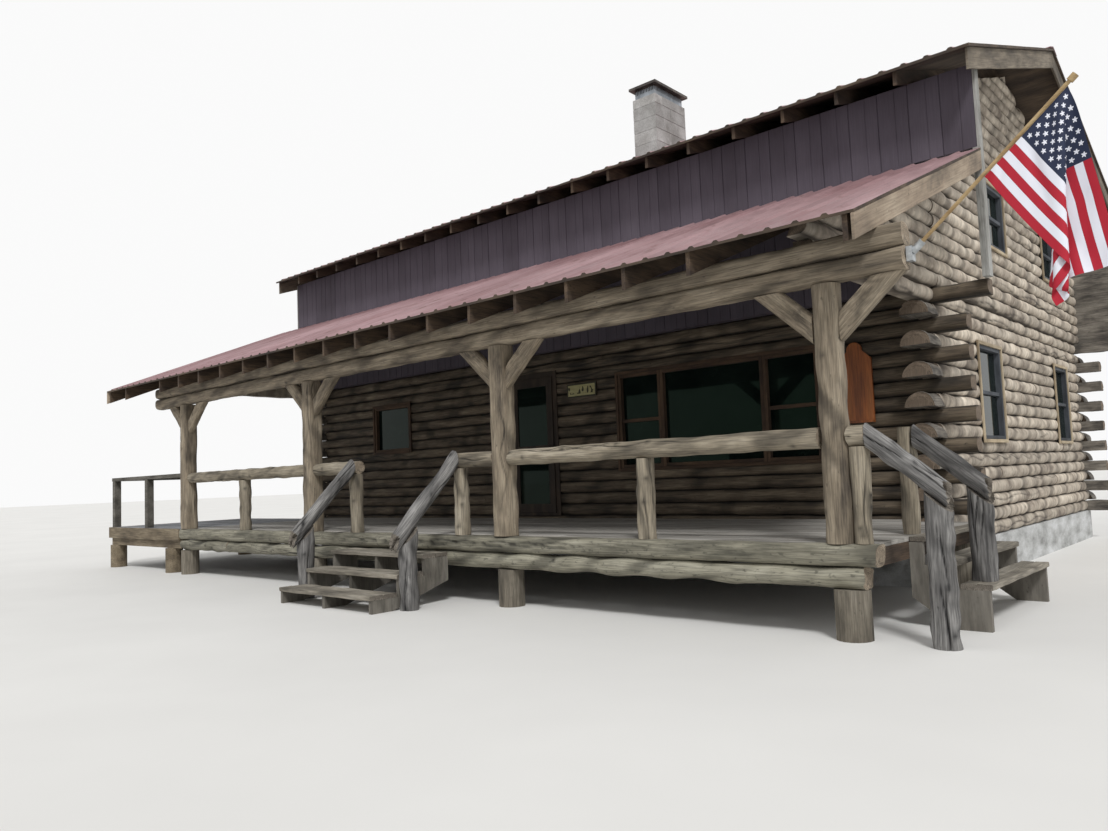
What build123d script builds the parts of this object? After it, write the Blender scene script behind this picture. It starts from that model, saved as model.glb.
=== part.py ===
from build123d import *
import os
from math import atan, cos

os.makedirs("parts", exist_ok=True)

# Millimetres. The origin is on the ground under the middle of the log body.
# X runs along the porch front, -Y is the porch side, +Z is up.

# Log body
body_length = 11600
body_depth = 7000
foundation_height = 440
foundation_thickness = 260
seat_gap = 0.5
log_sides = 16

# Wall logs
course_pitch = 160
log_depth = 180
log_bulge = 40
corner_run = 330
plate_course = 16
upper_storey_step = 40

# Openings in the log walls, as courses and as distances along the wall
door_sill_course = 2
door_head_course = 15
door_from_corner = 6300
door_width = 900
small_window_sill_course = 9
small_window_from_corner = 1810
small_window_width = 1000
porch_window_sill_course = 6
porch_window_from_corner = 4230
side_sash_width = 700
picture_window_width = 1500
window_head_course = 14
end_window_sill_course = 7
end_window_front_y = -2080
end_window_front_width = 900
end_window_rear_y = 1680
end_window_rear_width = 800
upper_window_sill_course = 22
upper_window_head_course = 27
upper_window_front_y = -1480
upper_window_rear_y = 1300
upper_window_width = 780
rear_window_spacing = 3600

# Window and door joinery
casing_width = 40
casing_proud = 22
frame_depth = 120
sash_width = 45
glass_thickness = 8
glass_gap = 0.4
door_jamb = 35
door_casing_proud = 12
leaf_proud = 18
door_leaf_thickness = 36
door_running_gap = 6
door_stile = 110
door_rail = 130
door_mid_rail_height = 860
hinge_radius = 7
hinge_length = 50
hinge_offset = 10
hinge_plate = 3
hinge_gap = 0.4
hinge_block = 25
handle_width = 20
handle_height = 120
handle_reach = 30

# Floors
floor_board_thickness = 30
floor_joist_spacing = 600
floor_joist_width = 45
upper_joist_depth = 180

# Main roof
ridge_rise = 3620
main_roof_rise = 0.3425
main_eave_overhang = 420
rake_overhang = 100
roof_deck_thickness = 45
main_rafter_depth = 140
rafter_width = 40
main_rafter_spaces = 18
rake_board_depth = 215
board_thickness = 25
wing_run = 550
post_board_width = 45
upper_wall_step = 80
upper_wall_thickness = 120
ridge_cap_width = 180
ridge_cap_thickness = 12
log_end_width = 310

# Porch
porch_depth = 2930
right_post_run = 120
left_post_inset = 746
post_width = 220
post_count = 4
threshold_step = 40
deck_thickness = 38
porch_roof_left_run = 1310
porch_roof_right_run = 30
porch_roof_rise = 0.4
porch_eave_run = 500
porch_eave_drop = 10
porch_roof_thickness = 40
porch_rafter_depth = 185
porch_rafter_spaces = 20
header_round = 72
header_log_height = 180
header_log_depth = 190
header_left_run = 300
header_right_run = 760
brace_drop = 462
brace_foot_height = 240
brace_head_near = 360
brace_head_far = 620
brace_thickness = 110
beam_log_height = 170
beam_log_depth = 210
beam_left_run = 126
deck_right_run = 240
beam_right_run = 310
beam_proud = 20
joist_depth = 140
joist_spacing = 610
pier_radius = 135

# Rails and steps
rail_height = 900
rail_radius = 82
rail_post_radius = 80
stub_post_radius = 68
rail_stub_clear = 45
right_stub_run = 248
step_rise = 180
tread_thickness = 45
tread_overhang = 25
front_step_width = 1740
front_step_offset = 147
step_count = 3
front_step_run = 350
stringer_width = 50
stringer_depth = 260
handrail_radius = 78
front_handrail_out = 102
front_handrail_fall = 850
front_handrail_reach = 860
newel_radius = 95
side_step_inset = 730
side_step_width = 1800
side_step_run = 240
side_step_count = 2
landing_run = 130
side_rail_spacing = 1000
side_handrail_reach = 575
side_handrail_fall = 475
side_newel_inset = 95

# Side deck
side_deck_length = 2850
side_deck_rim_height = 190
side_rail_width = 140
side_rail_thickness = 60
side_rail_post = 110

# Chimney
chimney_left = 1100
chimney_front = -2180
chimney_width = 420
chimney_depth = 820
chimney_rise = 360
flue_wall = 60
collar_height = 150
cap_overhang = 40
cap_thickness = 40

# Flag, sign and wall board
pole_radius = 14
pole_foot_rise = 112
pole_reach = 1090
pole_climb = 935
flag_hoist_start = 690
flag_hoist_end = 1400
flag_outer_drop = 1150
flag_inner_drop = 950
flag_outer_drift = 160
flag_inner_drift = 370
flag_thickness = 120
bracket_width = 70
bracket_height = 110
bracket_depth = 45
finial_radius = 24
finial_length = 50
socket_length = 120
sign_width = 540
sign_height = 200
sign_from_door = 260
sign_rise = 1720
wall_board_from_window = 260
wall_board_width = 370
wall_board_height = 900
wall_board_rise = 1060
wall_board_shoulder = 190
wall_board_neck = 170
wall_shelf_depth = 70
sign_thickness = 25

half_length = body_length / 2
half_depth = body_depth / 2
front_y = -half_depth
post_y = front_y - porch_depth
log_height = course_pitch - seat_gap
wing_half_length = half_length + wing_run
main_roof_half_length = wing_half_length + rake_overhang
main_eave_run = half_depth + upper_wall_step + main_eave_overhang
door_left = half_length - door_from_corner
porch_window_left = half_length - porch_window_from_corner
small_window_left = small_window_from_corner - half_length
right_post_x = half_length + right_post_run
left_post_x = left_post_inset - half_length
porch_roof_left = -half_length - porch_roof_left_run
porch_roof_right = wing_half_length + porch_roof_right_run
header_left = -half_length - header_left_run
header_right = half_length + header_right_run
beam_left = left_post_x - beam_left_run
deck_right = right_post_x + deck_right_run
beam_right = right_post_x + beam_right_run
side_deck_left = beam_left - side_deck_length


def course_z(course):
    """Height of the bed of a log course above the ground."""
    return foundation_height + course * course_pitch


upper_wall_bed = course_z(plate_course + 1)
ridge_height = upper_wall_bed + ridge_rise
porch_eave_height = upper_wall_bed - porch_eave_drop
porch_floor_height = course_z(door_sill_course) - threshold_step
chimney_height = ridge_height + chimney_rise


def save(builder, label):
    """Name a finished piece and write its STEP file."""
    builder.part.label = label
    export_step(builder.part, "parts/" + label + ".step")


def box(x_low, x_high, y_low, y_high, z_low, z_high):
    """A squared piece between its six faces."""
    with Locations(((x_low + x_high) / 2, (y_low + y_high) / 2, (z_low + z_high) / 2)):
        Box(x_high - x_low, y_high - y_low, z_high - z_low)


def wall_log(face, along, inward, start, end, course, depth=log_depth):
    """One wall log: flat bed, top and inside, and an outer face rounded in four flats."""
    origin = face + along * start + Vector(0, 0, course_z(course))
    rounded = [(log_bulge * (step / 2 - 1) ** 2, log_height * step / 4) for step in range(4, -1, -1)]
    with BuildSketch(Plane(origin=origin, x_dir=inward, z_dir=along)) as profile:
        Polygon((depth, 0), (depth, log_height), *rounded, align=None)
    extrude(profile.sketch, amount=end - start)


def round_log(start, end, radius):
    """A log peeled to a round with narrow flats, from one end point to the other."""
    run = Vector(*end) - Vector(*start)
    with BuildSketch(Plane(origin=start, z_dir=run)) as profile:
        RegularPolygon(radius, log_sides, major_radius=False, rotation=180 / log_sides)
    extrude(profile.sketch, amount=run.length)


def round_post(x, y, low, high, radius):
    """An upright log between two heights."""
    round_log((x, y, low), (x, y, high), radius)


def side_prism(x_low, x_high, points):
    """A piece with one outline in Y and Z all along X."""
    with BuildSketch(Plane.YZ.offset(x_low)) as profile:
        Polygon(*points, align=None)
    extrude(profile.sketch, amount=x_high - x_low)


def spans_between(low, high, gaps):
    """The stretches between low and high that a list of gaps leaves."""
    spans = []
    start = low
    for left, right in sorted(gaps):
        spans.append((start, left))
        start = right
    spans.append((start, high))
    return spans


def open_spans(openings, course, low, high):
    """The stretches of a course between low and high, clear of the windows that it meets."""
    gaps = [(left, left + width) for left, width, sill, head in openings
            if sill <= course < head and low <= left < high]
    return spans_between(low, high, gaps)


def main_roof_top(y):
    """Height of the main roof's upper face."""
    return ridge_height - main_roof_rise * abs(y)


def porch_roof_top(y):
    """Height of the porch roof's upper face."""
    return porch_eave_height + porch_roof_rise * (y - post_y + porch_eave_run)


main_slope = cos(atan(main_roof_rise))
porch_slope = cos(atan(porch_roof_rise))
deck_drop = roof_deck_thickness / main_slope
rafter_drop = deck_drop + main_rafter_depth / main_slope
porch_deck_drop = porch_roof_thickness / porch_slope
porch_rafter_drop = porch_deck_drop + porch_rafter_depth / porch_slope
chimney_right = chimney_left + chimney_width
chimney_back = chimney_front + chimney_depth
header_arc_z = (porch_roof_top(post_y - header_log_depth / 2 + header_round) - porch_rafter_drop
                - (header_round + seat_gap) / porch_slope)
header_bottom = header_arc_z + header_round - 2 * header_log_height

# Foundation: four concrete walls under the log body
with BuildPart() as foundation:
    with BuildSketch():
        Rectangle(body_length, body_depth)
        Rectangle(body_length - 2 * foundation_thickness, body_depth - 2 * foundation_thickness,
                  mode=Mode.SUBTRACT)
    extrude(amount=foundation_height - seat_gap)
save(foundation, "foundation")

# Front wall: even courses run past the corners, odd ones stop inside the end walls
front_face = Vector(0, front_y, 0)
east = Vector(1, 0, 0)
north = Vector(0, 1, 0)
inner_half_length = half_length - log_depth - seat_gap
inner_half_depth = half_depth - log_depth - seat_gap
door_right = door_left + door_width
porch_window_width = 2 * side_sash_width + picture_window_width
front_openings = [
    (small_window_left, small_window_width, small_window_sill_course, window_head_course),
    (porch_window_left, porch_window_width, porch_window_sill_course, window_head_course),
]


def long_reach(course):
    """How far a front or rear course reaches from the middle of the body."""
    if course == plate_course:
        return wing_half_length
    if course % 2 == 0:
        return half_length + corner_run
    return inner_half_length


log_end_inner = half_length + log_bulge - log_end_width


def end_reach(course):
    """How far an end-wall course reaches from the middle of the body, short of its rounded ends."""
    if course % 2 == 1:
        return half_depth + 2 * seat_gap
    return inner_half_depth


def corner_log_end(course):
    """Both ends of an end-wall course past the corners: half round, with the flat side down."""
    middle_x = log_end_inner + log_end_width / 2
    for y_low in (-half_depth - corner_run, half_depth + seat_gap):
        with BuildSketch(Plane.XZ.offset(-y_low - corner_run + seat_gap)) as profile:
            with Locations((middle_x, course_z(course))):
                Ellipse(log_end_width / 2, log_height)
            with Locations((middle_x, course_z(course) - log_height)):
                Rectangle(log_end_width, 2 * log_height, mode=Mode.SUBTRACT)
        extrude(profile.sketch, amount=corner_run - seat_gap)


door_courses = range(door_sill_course, door_head_course)
with BuildPart() as front_wall_left:
    for course in door_courses:
        for start, end in open_spans(front_openings, course, -long_reach(course), door_left):
            wall_log(front_face, east, north, start, end, course)
save(front_wall_left, "front_wall_left")

with BuildPart() as front_wall_right:
    for course in door_courses:
        for start, end in open_spans(front_openings, course, door_right, long_reach(course)):
            wall_log(front_face, east, north, start, end, course)
save(front_wall_right, "front_wall_right")

with BuildPart() as front_wall_through_logs:
    for course in range(plate_course + 1):
        if course not in door_courses:
            wall_log(front_face, east, north, -long_reach(course), long_reach(course), course)
save(front_wall_through_logs, "front_wall_through_logs")

# Rear wall: three windows like the small porch one
rear_openings = []
for place in (-1, 0, 1):
    left = place * rear_window_spacing - small_window_width / 2
    rear_openings.append((left, small_window_width, small_window_sill_course, window_head_course))
with BuildPart() as rear_wall:
    for course in range(plate_course + 1):
        reach = long_reach(course)
        for start, end in open_spans(rear_openings, course, -reach, reach):
            wall_log(Vector(0, half_depth, 0), -east, -north, start, end, course)
save(rear_wall, "rear_wall")

# End walls: the lower storey, then the gable, which stands a little proud
end_openings = [
    (end_window_front_y, end_window_front_width, end_window_sill_course, window_head_course),
    (end_window_rear_y, end_window_rear_width, end_window_sill_course, window_head_course),
]
upper_openings = [
    (upper_window_front_y, upper_window_width, upper_window_sill_course, upper_window_head_course),
    (upper_window_rear_y, upper_window_width, upper_window_sill_course, upper_window_head_course),
]
with BuildPart() as right_wall_lower:
    for course in range(plate_course + 1):
        reach = end_reach(course)
        for start, end in open_spans(end_openings, course, -reach, reach):
            wall_log(Vector(half_length, 0, 0), north, -east, start, end, course)
        if course % 2 == 1:
            corner_log_end(course)
save(right_wall_lower, "right_wall_lower")

with BuildPart() as left_wall_lower:
    add(right_wall_lower.part)
    mirror(about=Plane.YZ, mode=Mode.REPLACE)
save(left_wall_lower, "left_wall_lower")

upper_wall_front = front_y - upper_wall_step
upper_wall_back = upper_wall_front + upper_wall_thickness
gable_reach = -upper_wall_back - seat_gap
gable_face = half_length + upper_storey_step
gable_top = ridge_height - rafter_drop - seat_gap
gable_courses = range(plate_course + 1, int((gable_top - foundation_height) / course_pitch) + 1)
wall_top = main_roof_top(upper_wall_front) - rafter_drop - seat_gap
with BuildPart() as right_wall_upper:
    for course in gable_courses:
        for start, end in open_spans(upper_openings, course, -gable_reach, gable_reach):
            wall_log(Vector(gable_face, 0, 0), north, -east, start, end, course)
    over_roof = ridge_height + course_pitch
    under = rafter_drop + seat_gap
    with BuildSketch(Plane.YZ.offset(gable_face + 1)) as above_rafters:
        Polygon(
            (0, ridge_height - under), (-half_depth, main_roof_top(half_depth) - under),
            (-half_depth, over_roof), (half_depth, over_roof),
            (half_depth, main_roof_top(half_depth) - under), align=None)
    extrude(above_rafters.sketch, amount=-2 * log_depth, mode=Mode.SUBTRACT)
save(right_wall_upper, "right_wall_upper")

with BuildPart() as left_wall_upper:
    add(right_wall_upper.part)
    mirror(about=Plane.YZ, mode=Mode.REPLACE)
save(left_wall_upper, "left_wall_upper")

# Porch end walls: the gable's logs carried forward over the porch to the header
header_back = post_y + header_log_depth / 2
header_front = post_y - header_log_depth / 2
tie_end = front_y - seat_gap
infill_end = -gable_reach - seat_gap
porch_roof_end = upper_wall_front - seat_gap
infill_top = porch_roof_top(porch_roof_end) - porch_deck_drop - seat_gap
with BuildPart() as porch_end_logs:
    wall_log(Vector(half_length, 0, 0), north, -east, header_back + seat_gap, tie_end, plate_course)
    for course in range(plate_course + 1, int((infill_top - foundation_height) / course_pitch) + 1):
        wall_log(Vector(gable_face, 0, 0), north, -east, header_front, infill_end, course)
    with BuildSketch(Plane.YZ.offset(gable_face + 1)) as above_porch:
        Polygon(
            (header_front - 1, porch_roof_top(header_front - 1) - porch_deck_drop - seat_gap),
            (porch_roof_end, infill_top), (infill_end + 1, infill_top),
            (infill_end + 1, over_roof), (header_front - 1, over_roof), align=None)
    extrude(above_porch.sketch, amount=-2 * log_depth, mode=Mode.SUBTRACT)
    mirror(about=Plane.YZ)
save(porch_end_logs, "porch_end_logs")

# Upper walls: the front one is framed and boarded, the rear one is of logs, and both run on past
# the gables as wings. In front each wing stands on the porch roof, with a post at its end.
wing_bed = porch_roof_top(upper_wall_front) + seat_gap
gable_inside = gable_face - log_depth - seat_gap
with BuildPart() as upper_walls:
    box(-gable_inside, gable_inside, upper_wall_front, upper_wall_back, upper_wall_bed, wing_bed)
    box(-wing_half_length, wing_half_length, upper_wall_front, upper_wall_back, wing_bed, wall_top)
    rear_face = Vector(0, -upper_wall_front, 0)
    top_course = int((wall_top - foundation_height) / course_pitch)
    for course in range(plate_course + 1, top_course):
        wall_log(rear_face, -east, -north, -wing_half_length, wing_half_length, course, upper_wall_thickness)
    box(-wing_half_length, wing_half_length, -upper_wall_back, -upper_wall_front,
        course_z(top_course), wall_top)
save(upper_walls, "upper_walls")

with BuildPart() as corner_trims:
    trim_start = wing_half_length + seat_gap
    for y_low in (upper_wall_front, -upper_wall_back):
        box(trim_start, trim_start + board_thickness, y_low, y_low + upper_wall_thickness,
            upper_wall_bed, wall_top)
    box(trim_start - post_board_width, trim_start - seat_gap, upper_wall_front, upper_wall_back,
        upper_wall_bed, wing_bed - seat_gap)
    mirror(about=Plane.YZ)
save(corner_trims, "corner_trims")


def joist_xs(half_run, spacing):
    """Evenly spaced joist places, no further apart than the spacing."""
    count = int(2 * half_run / spacing)
    return [-half_run + 2 * half_run * n / count for n in range(count + 1)]


def around_chimney(x_low, x_high, y_low, y_high):
    """Four sheets that leave a hole for the chimney, as edges in X and Y."""
    left = chimney_left - seat_gap
    right = chimney_right + seat_gap
    front = chimney_front - seat_gap
    back = chimney_back + seat_gap
    return [
        (x_low, left - seat_gap, y_low, y_high),
        (right + seat_gap, x_high, y_low, y_high),
        (left, right, y_low, front),
        (left, right, back, y_high),
    ]


# Floors: joists with boards over them, trimmed round the chimney
ground_floor_top = course_z(door_sill_course)
joist_half_run = inner_half_length - floor_joist_width
with BuildPart() as ground_floor:
    board_bottom = ground_floor_top - floor_board_thickness
    for x in joist_xs(joist_half_run, floor_joist_spacing):
        beside = chimney_left - floor_joist_width < x < chimney_right + floor_joist_width
        gaps = [(chimney_front - seat_gap, chimney_back + seat_gap)] if beside else []
        for start, end in spans_between(-inner_half_depth, inner_half_depth, gaps):
            box(x - floor_joist_width / 2, x + floor_joist_width / 2, start, end,
                foundation_height, board_bottom - seat_gap)
    for x_low, x_high, y_low, y_high in around_chimney(
            -inner_half_length, inner_half_length, -inner_half_depth, inner_half_depth):
        box(x_low, x_high, y_low, y_high, board_bottom, ground_floor_top)
save(ground_floor, "ground_floor")

upper_floor_depth = -upper_wall_back - seat_gap
with BuildPart() as upper_floor:
    board_bottom = upper_wall_bed + upper_joist_depth
    for x in joist_xs(gable_inside - floor_joist_width, floor_joist_spacing):
        beside = chimney_left - floor_joist_width < x < chimney_right + floor_joist_width
        gaps = [(chimney_front - seat_gap, chimney_back + seat_gap)] if beside else []
        for start, end in spans_between(-upper_floor_depth, upper_floor_depth, gaps):
            box(x - floor_joist_width / 2, x + floor_joist_width / 2, start, end,
                upper_wall_bed, board_bottom - seat_gap)
    for x_low, x_high, y_low, y_high in around_chimney(
            -gable_inside, gable_inside, -upper_floor_depth, upper_floor_depth):
        box(x_low, x_high, y_low, y_high, board_bottom, board_bottom + floor_board_thickness)
save(upper_floor, "upper_floor")


def roof_sheet(x_low, x_high, y_low, y_high, top, drop_top, drop_bottom):
    """A sloping piece that hangs between two depths below a roof's upper face."""
    side_prism(x_low, x_high, [
        (y_low, top(y_low) - drop_top), (y_high, top(y_high) - drop_top),
        (y_high, top(y_high) - drop_bottom), (y_low, top(y_low) - drop_bottom)])


# Main roof: two slopes of decking and metal on rafters with open tails
with BuildPart() as main_roof:
    for x_low, x_high, y_low, y_high in around_chimney(
            -main_roof_half_length, main_roof_half_length, -main_eave_run, -seat_gap / 2):
        roof_sheet(x_low, x_high, y_low, y_high, main_roof_top, 0, deck_drop)
    roof_sheet(-main_roof_half_length, main_roof_half_length, seat_gap / 2, main_eave_run,
               main_roof_top, 0, deck_drop)
save(main_roof, "main_roof")

with BuildPart() as ridge_cap:
    for y_low, y_high in ((-ridge_cap_width, -seat_gap / 2), (seat_gap / 2, ridge_cap_width)):
        roof_sheet(-main_roof_half_length, main_roof_half_length, y_low, y_high,
                   main_roof_top, -seat_gap - ridge_cap_thickness, -seat_gap)
save(ridge_cap, "ridge_cap")

tail_start = main_eave_run - 2 * board_thickness
rafter_run = half_length - log_depth / 2
with BuildPart() as main_rafters:
    for n in range(main_rafter_spaces + 1):
        x = -rafter_run + 2 * rafter_run * n / main_rafter_spaces
        beside = chimney_left - rafter_width < x < chimney_right + rafter_width
        gaps = [(chimney_front - seat_gap, chimney_back + seat_gap)] if beside else []
        for start, end in spans_between(-tail_start, -seat_gap, gaps):
            roof_sheet(x - rafter_width / 2, x + rafter_width / 2, start, end,
                       main_roof_top, deck_drop + seat_gap, rafter_drop)
        roof_sheet(x - rafter_width / 2, x + rafter_width / 2, seat_gap, tail_start,
                   main_roof_top, deck_drop + seat_gap, rafter_drop)
save(main_rafters, "main_rafters")

with BuildPart() as rake_boards:
    barge_drop = porch_rafter_drop
    for x in (porch_roof_left, porch_roof_right - board_thickness):
        roof_sheet(x, x + board_thickness, post_y - porch_eave_run, upper_wall_front - seat_gap,
                   porch_roof_top, porch_deck_drop + seat_gap, barge_drop)
    rake_x = main_roof_half_length - 2 * board_thickness
    rake_drop = deck_drop + seat_gap + rake_board_depth / main_slope
    roof_sheet(rake_x, rake_x + board_thickness, -tail_start, -seat_gap,
               main_roof_top, deck_drop + seat_gap, rake_drop)
    roof_sheet(rake_x, rake_x + board_thickness, seat_gap, tail_start,
               main_roof_top, deck_drop + seat_gap, rake_drop)
    roof_sheet(-rake_x - board_thickness, -rake_x, -tail_start, -seat_gap,
               main_roof_top, deck_drop + seat_gap, rake_drop)
    roof_sheet(-rake_x - board_thickness, -rake_x, seat_gap, tail_start,
               main_roof_top, deck_drop + seat_gap, rake_drop)
save(rake_boards, "rake_boards")

# Porch header: two stacked logs on the posts
with BuildPart() as header_logs:
    for layer in range(2):
        low = header_bottom + layer * header_log_height
        with BuildSketch(Plane(origin=(header_left, post_y, low), x_dir=north, z_dir=east)) as profile:
            with Locations((0, header_log_height / 2)):
                RectangleRounded(header_log_depth, header_log_height - seat_gap, header_round)
        extrude(profile.sketch, amount=header_right - header_left)
save(header_logs, "header_logs")

# Porch roof: metal over open rafters that run from the upper wall to the eave
porch_eave_y = post_y - porch_eave_run
with BuildPart() as porch_roof:
    roof_sheet(porch_roof_left, porch_roof_right, porch_eave_y, porch_roof_end,
               porch_roof_top, 0, porch_deck_drop)
save(porch_roof, "porch_roof")

end_rafter_inset = 80
rafter_left = porch_roof_left + end_rafter_inset
rafter_right = porch_roof_right - end_rafter_inset
with BuildPart() as porch_rafters:
    for n in range(porch_rafter_spaces + 1):
        x = rafter_left + (rafter_right - rafter_left) * n / porch_rafter_spaces
        in_end_wall = gable_face - log_depth - rafter_width < abs(x) < gable_face + rafter_width
        if not in_end_wall:
            roof_sheet(x - rafter_width / 2, x + rafter_width / 2, porch_eave_y + board_thickness,
                       porch_roof_end, porch_roof_top, porch_deck_drop + seat_gap, porch_rafter_drop)
save(porch_rafters, "porch_rafters")

# Posts with knee braces
post_spacing = (right_post_x - left_post_x) / (post_count - 1)
post_xs = [right_post_x - n * post_spacing for n in range(post_count)]
with BuildPart() as porch_posts:
    for x in post_xs:
        with BuildSketch(Plane.XY.offset(porch_floor_height)) as profile:
            with Locations((x, post_y)):
                RectangleRounded(post_width, post_width, post_width * 0.3)
        extrude(profile.sketch, amount=header_bottom - porch_floor_height - seat_gap)
save(porch_posts, "porch_posts")

brace_foot = header_bottom - brace_drop
with BuildPart() as knee_braces:
    for x in post_xs:
        for side in (-1, 1):
            start = post_width / 2 + seat_gap
            with BuildSketch(Plane.XZ.offset(-post_y - brace_thickness / 2)) as profile:
                Polygon(
                    (x + side * start, brace_foot), (x + side * start, brace_foot + brace_foot_height),
                    (x + side * brace_head_near, header_bottom - seat_gap),
                    (x + side * brace_head_far, header_bottom - seat_gap), align=None)
            extrude(profile.sketch, amount=brace_thickness)
save(knee_braces, "knee_braces")

# Porch floor: two stacked beam logs at the front, joists and boards behind, log piers
beam_y_low = post_y - beam_log_depth / 2 - beam_proud
beam_y_high = beam_y_low + beam_log_depth
deck_bottom = porch_floor_height - deck_thickness
with BuildPart() as porch_beam_logs:
    for layer in range(2):
        high = porch_floor_height - seat_gap - layer * beam_log_height
        with BuildSketch(Plane(origin=(beam_left, beam_y_low, high), x_dir=north, z_dir=east)) as profile:
            with Locations((beam_log_depth / 2, -beam_log_height / 2)):
                RectangleRounded(beam_log_depth, beam_log_height - seat_gap, beam_log_height * 0.35)
        extrude(profile.sketch, amount=beam_right - beam_left)
save(porch_beam_logs, "porch_beam_logs")

deck_back = front_y - corner_run - seat_gap
with BuildPart() as porch_deck:
    box(beam_left, deck_right, beam_y_high + seat_gap, deck_back, deck_bottom, porch_floor_height)
    box(seat_gap - log_end_inner, log_end_inner - seat_gap, deck_back + seat_gap, front_y - seat_gap,
        deck_bottom, porch_floor_height)
save(porch_deck, "porch_deck")

joist_top = deck_bottom - seat_gap
joist_bottom = joist_top - joist_depth
with BuildPart() as porch_joists:
    first = beam_left + floor_joist_width
    for n in range(int((inner_half_length - first) / joist_spacing) + 1):
        x = first + n * joist_spacing
        end = front_y - seat_gap
        box(x, x + floor_joist_width, beam_y_high + seat_gap, end, joist_bottom, joist_top)
    box(deck_right - floor_joist_width, deck_right, beam_y_high + seat_gap, deck_back,
        joist_bottom, joist_top)
save(porch_joists, "porch_joists")

beam_bottom = porch_floor_height - 2 * beam_log_height
with BuildPart() as porch_piers:
    beam_middle = (beam_y_low + beam_y_high) / 2
    for x in post_xs:
        round_post(x + pier_radius / 2, beam_middle, 0, beam_bottom - seat_gap, pier_radius)
    round_post(deck_right - pier_radius, deck_back - pier_radius, 0, joist_bottom - seat_gap, pier_radius)
save(porch_piers, "porch_piers")

# Log rails between the posts, with short posts under them
rail_z = porch_floor_height + rail_height - rail_radius
rail_clear = post_width / 2 + seat_gap
right_post, second_post, third_post, left_post = post_xs
step_middle = (second_post + third_post) / 2 + front_step_offset
front_step_left = step_middle - front_step_width / 2
front_step_right = step_middle + front_step_width / 2
rail_stub_left = front_step_left - rail_stub_clear
rail_stub_right = front_step_right + rail_stub_clear
rail_stub_end = right_post + right_stub_run
side_stub_x = right_post + rail_clear + stub_post_radius + seat_gap
far_stub_x = rail_stub_end - stub_post_radius
side_rail_far_y = post_y + side_rail_spacing
with BuildPart() as porch_rails:
    for start, end in (
            (left_post + rail_clear, third_post - rail_clear),
            (third_post + rail_clear, rail_stub_left),
            (rail_stub_right, second_post - rail_clear),
            (second_post + rail_clear, right_post - rail_clear),
            (right_post + rail_clear, rail_stub_end)):
        round_log((start, post_y, rail_z), (end, post_y, rail_z), rail_radius)
save(porch_rails, "porch_rails")

short_post_top = rail_z - rail_radius - seat_gap
deck_seat = porch_floor_height + seat_gap
with BuildPart() as rail_posts:
    for x in ((left_post + third_post) / 2, rail_stub_left - rail_post_radius,
              rail_stub_right + rail_post_radius, (second_post + right_post) / 2):
        round_post(x, post_y, deck_seat, short_post_top, rail_post_radius)
    round_post(side_stub_x, post_y, deck_seat, short_post_top, stub_post_radius)
    round_post(far_stub_x, side_rail_far_y, deck_seat, deck_seat + rail_height, stub_post_radius)
save(rail_posts, "rail_posts")


def steps_down(outward, run, first_edge, low, high, count):
    """Boxes of the treads of one flight, from the top one down, in X and Y."""
    treads = []
    for n in range(count):
        near = first_edge + n * run
        far = near + run - seat_gap
        top = porch_floor_height - (n + 1) * step_rise
        if outward == "front":
            treads.append((low, high, -far, -near, top - tread_thickness, top))
        else:
            treads.append((near, far, low, high, top - tread_thickness, top))
    return treads


def stringer_outline(run, first_edge, count):
    """Outline of a notched stringer: distance out from the middle and height."""
    points = [(first_edge, porch_floor_height - step_rise - tread_thickness - seat_gap - stringer_depth)]
    for n in range(count):
        notch = porch_floor_height - (n + 1) * step_rise - tread_thickness - seat_gap
        near = first_edge + n * run
        far = near + run - tread_overhang
        if n > 0:
            near = near - tread_overhang
        points.append((near, notch))
        points.append((far, notch))
    points.append((points[-1][0], 0))
    points.append((points[-1][0] - stringer_depth, 0))
    return points


# Steps: open treads on notched stringers, in front and at the right end
front_edge = -beam_y_low + seat_gap
side_edge = deck_right + landing_run + seat_gap
side_step_near_y = post_y + side_step_inset
side_step_far_y = side_step_near_y + side_step_width
with BuildPart() as step_treads:
    for tread in steps_down("front", front_step_run, front_edge, front_step_left, front_step_right,
                            step_count):
        box(*tread)
    for tread in steps_down("side", side_step_run, side_edge, side_step_near_y, side_step_far_y,
                            side_step_count):
        box(*tread)
    box(deck_right + seat_gap, side_edge - seat_gap, side_step_near_y, side_step_far_y,
        porch_floor_height - tread_thickness, porch_floor_height)
save(step_treads, "step_treads")

with BuildPart() as step_stringers:
    front_outline = [(-out, up) for out, up in stringer_outline(front_step_run, front_edge, step_count)]
    for x in (front_step_left, step_middle - stringer_width / 2, front_step_right - stringer_width):
        side_prism(x, x + stringer_width, front_outline)
    side_outline = stringer_outline(side_step_run, side_edge, side_step_count)
    under_landing = porch_floor_height - tread_thickness - seat_gap
    side_outline = [(deck_right + seat_gap, side_outline[0][1]), (deck_right + seat_gap, under_landing),
                    (side_edge - tread_overhang, under_landing),
                    (side_edge - tread_overhang, side_outline[1][1]), *side_outline[2:]]
    for y in (side_step_near_y, side_step_far_y - stringer_width):
        with BuildSketch(Plane.XZ.offset(-y - stringer_width)) as profile:
            Polygon(*side_outline, align=None)
        extrude(profile.sketch, amount=stringer_width)
save(step_stringers, "step_stringers")

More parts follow.
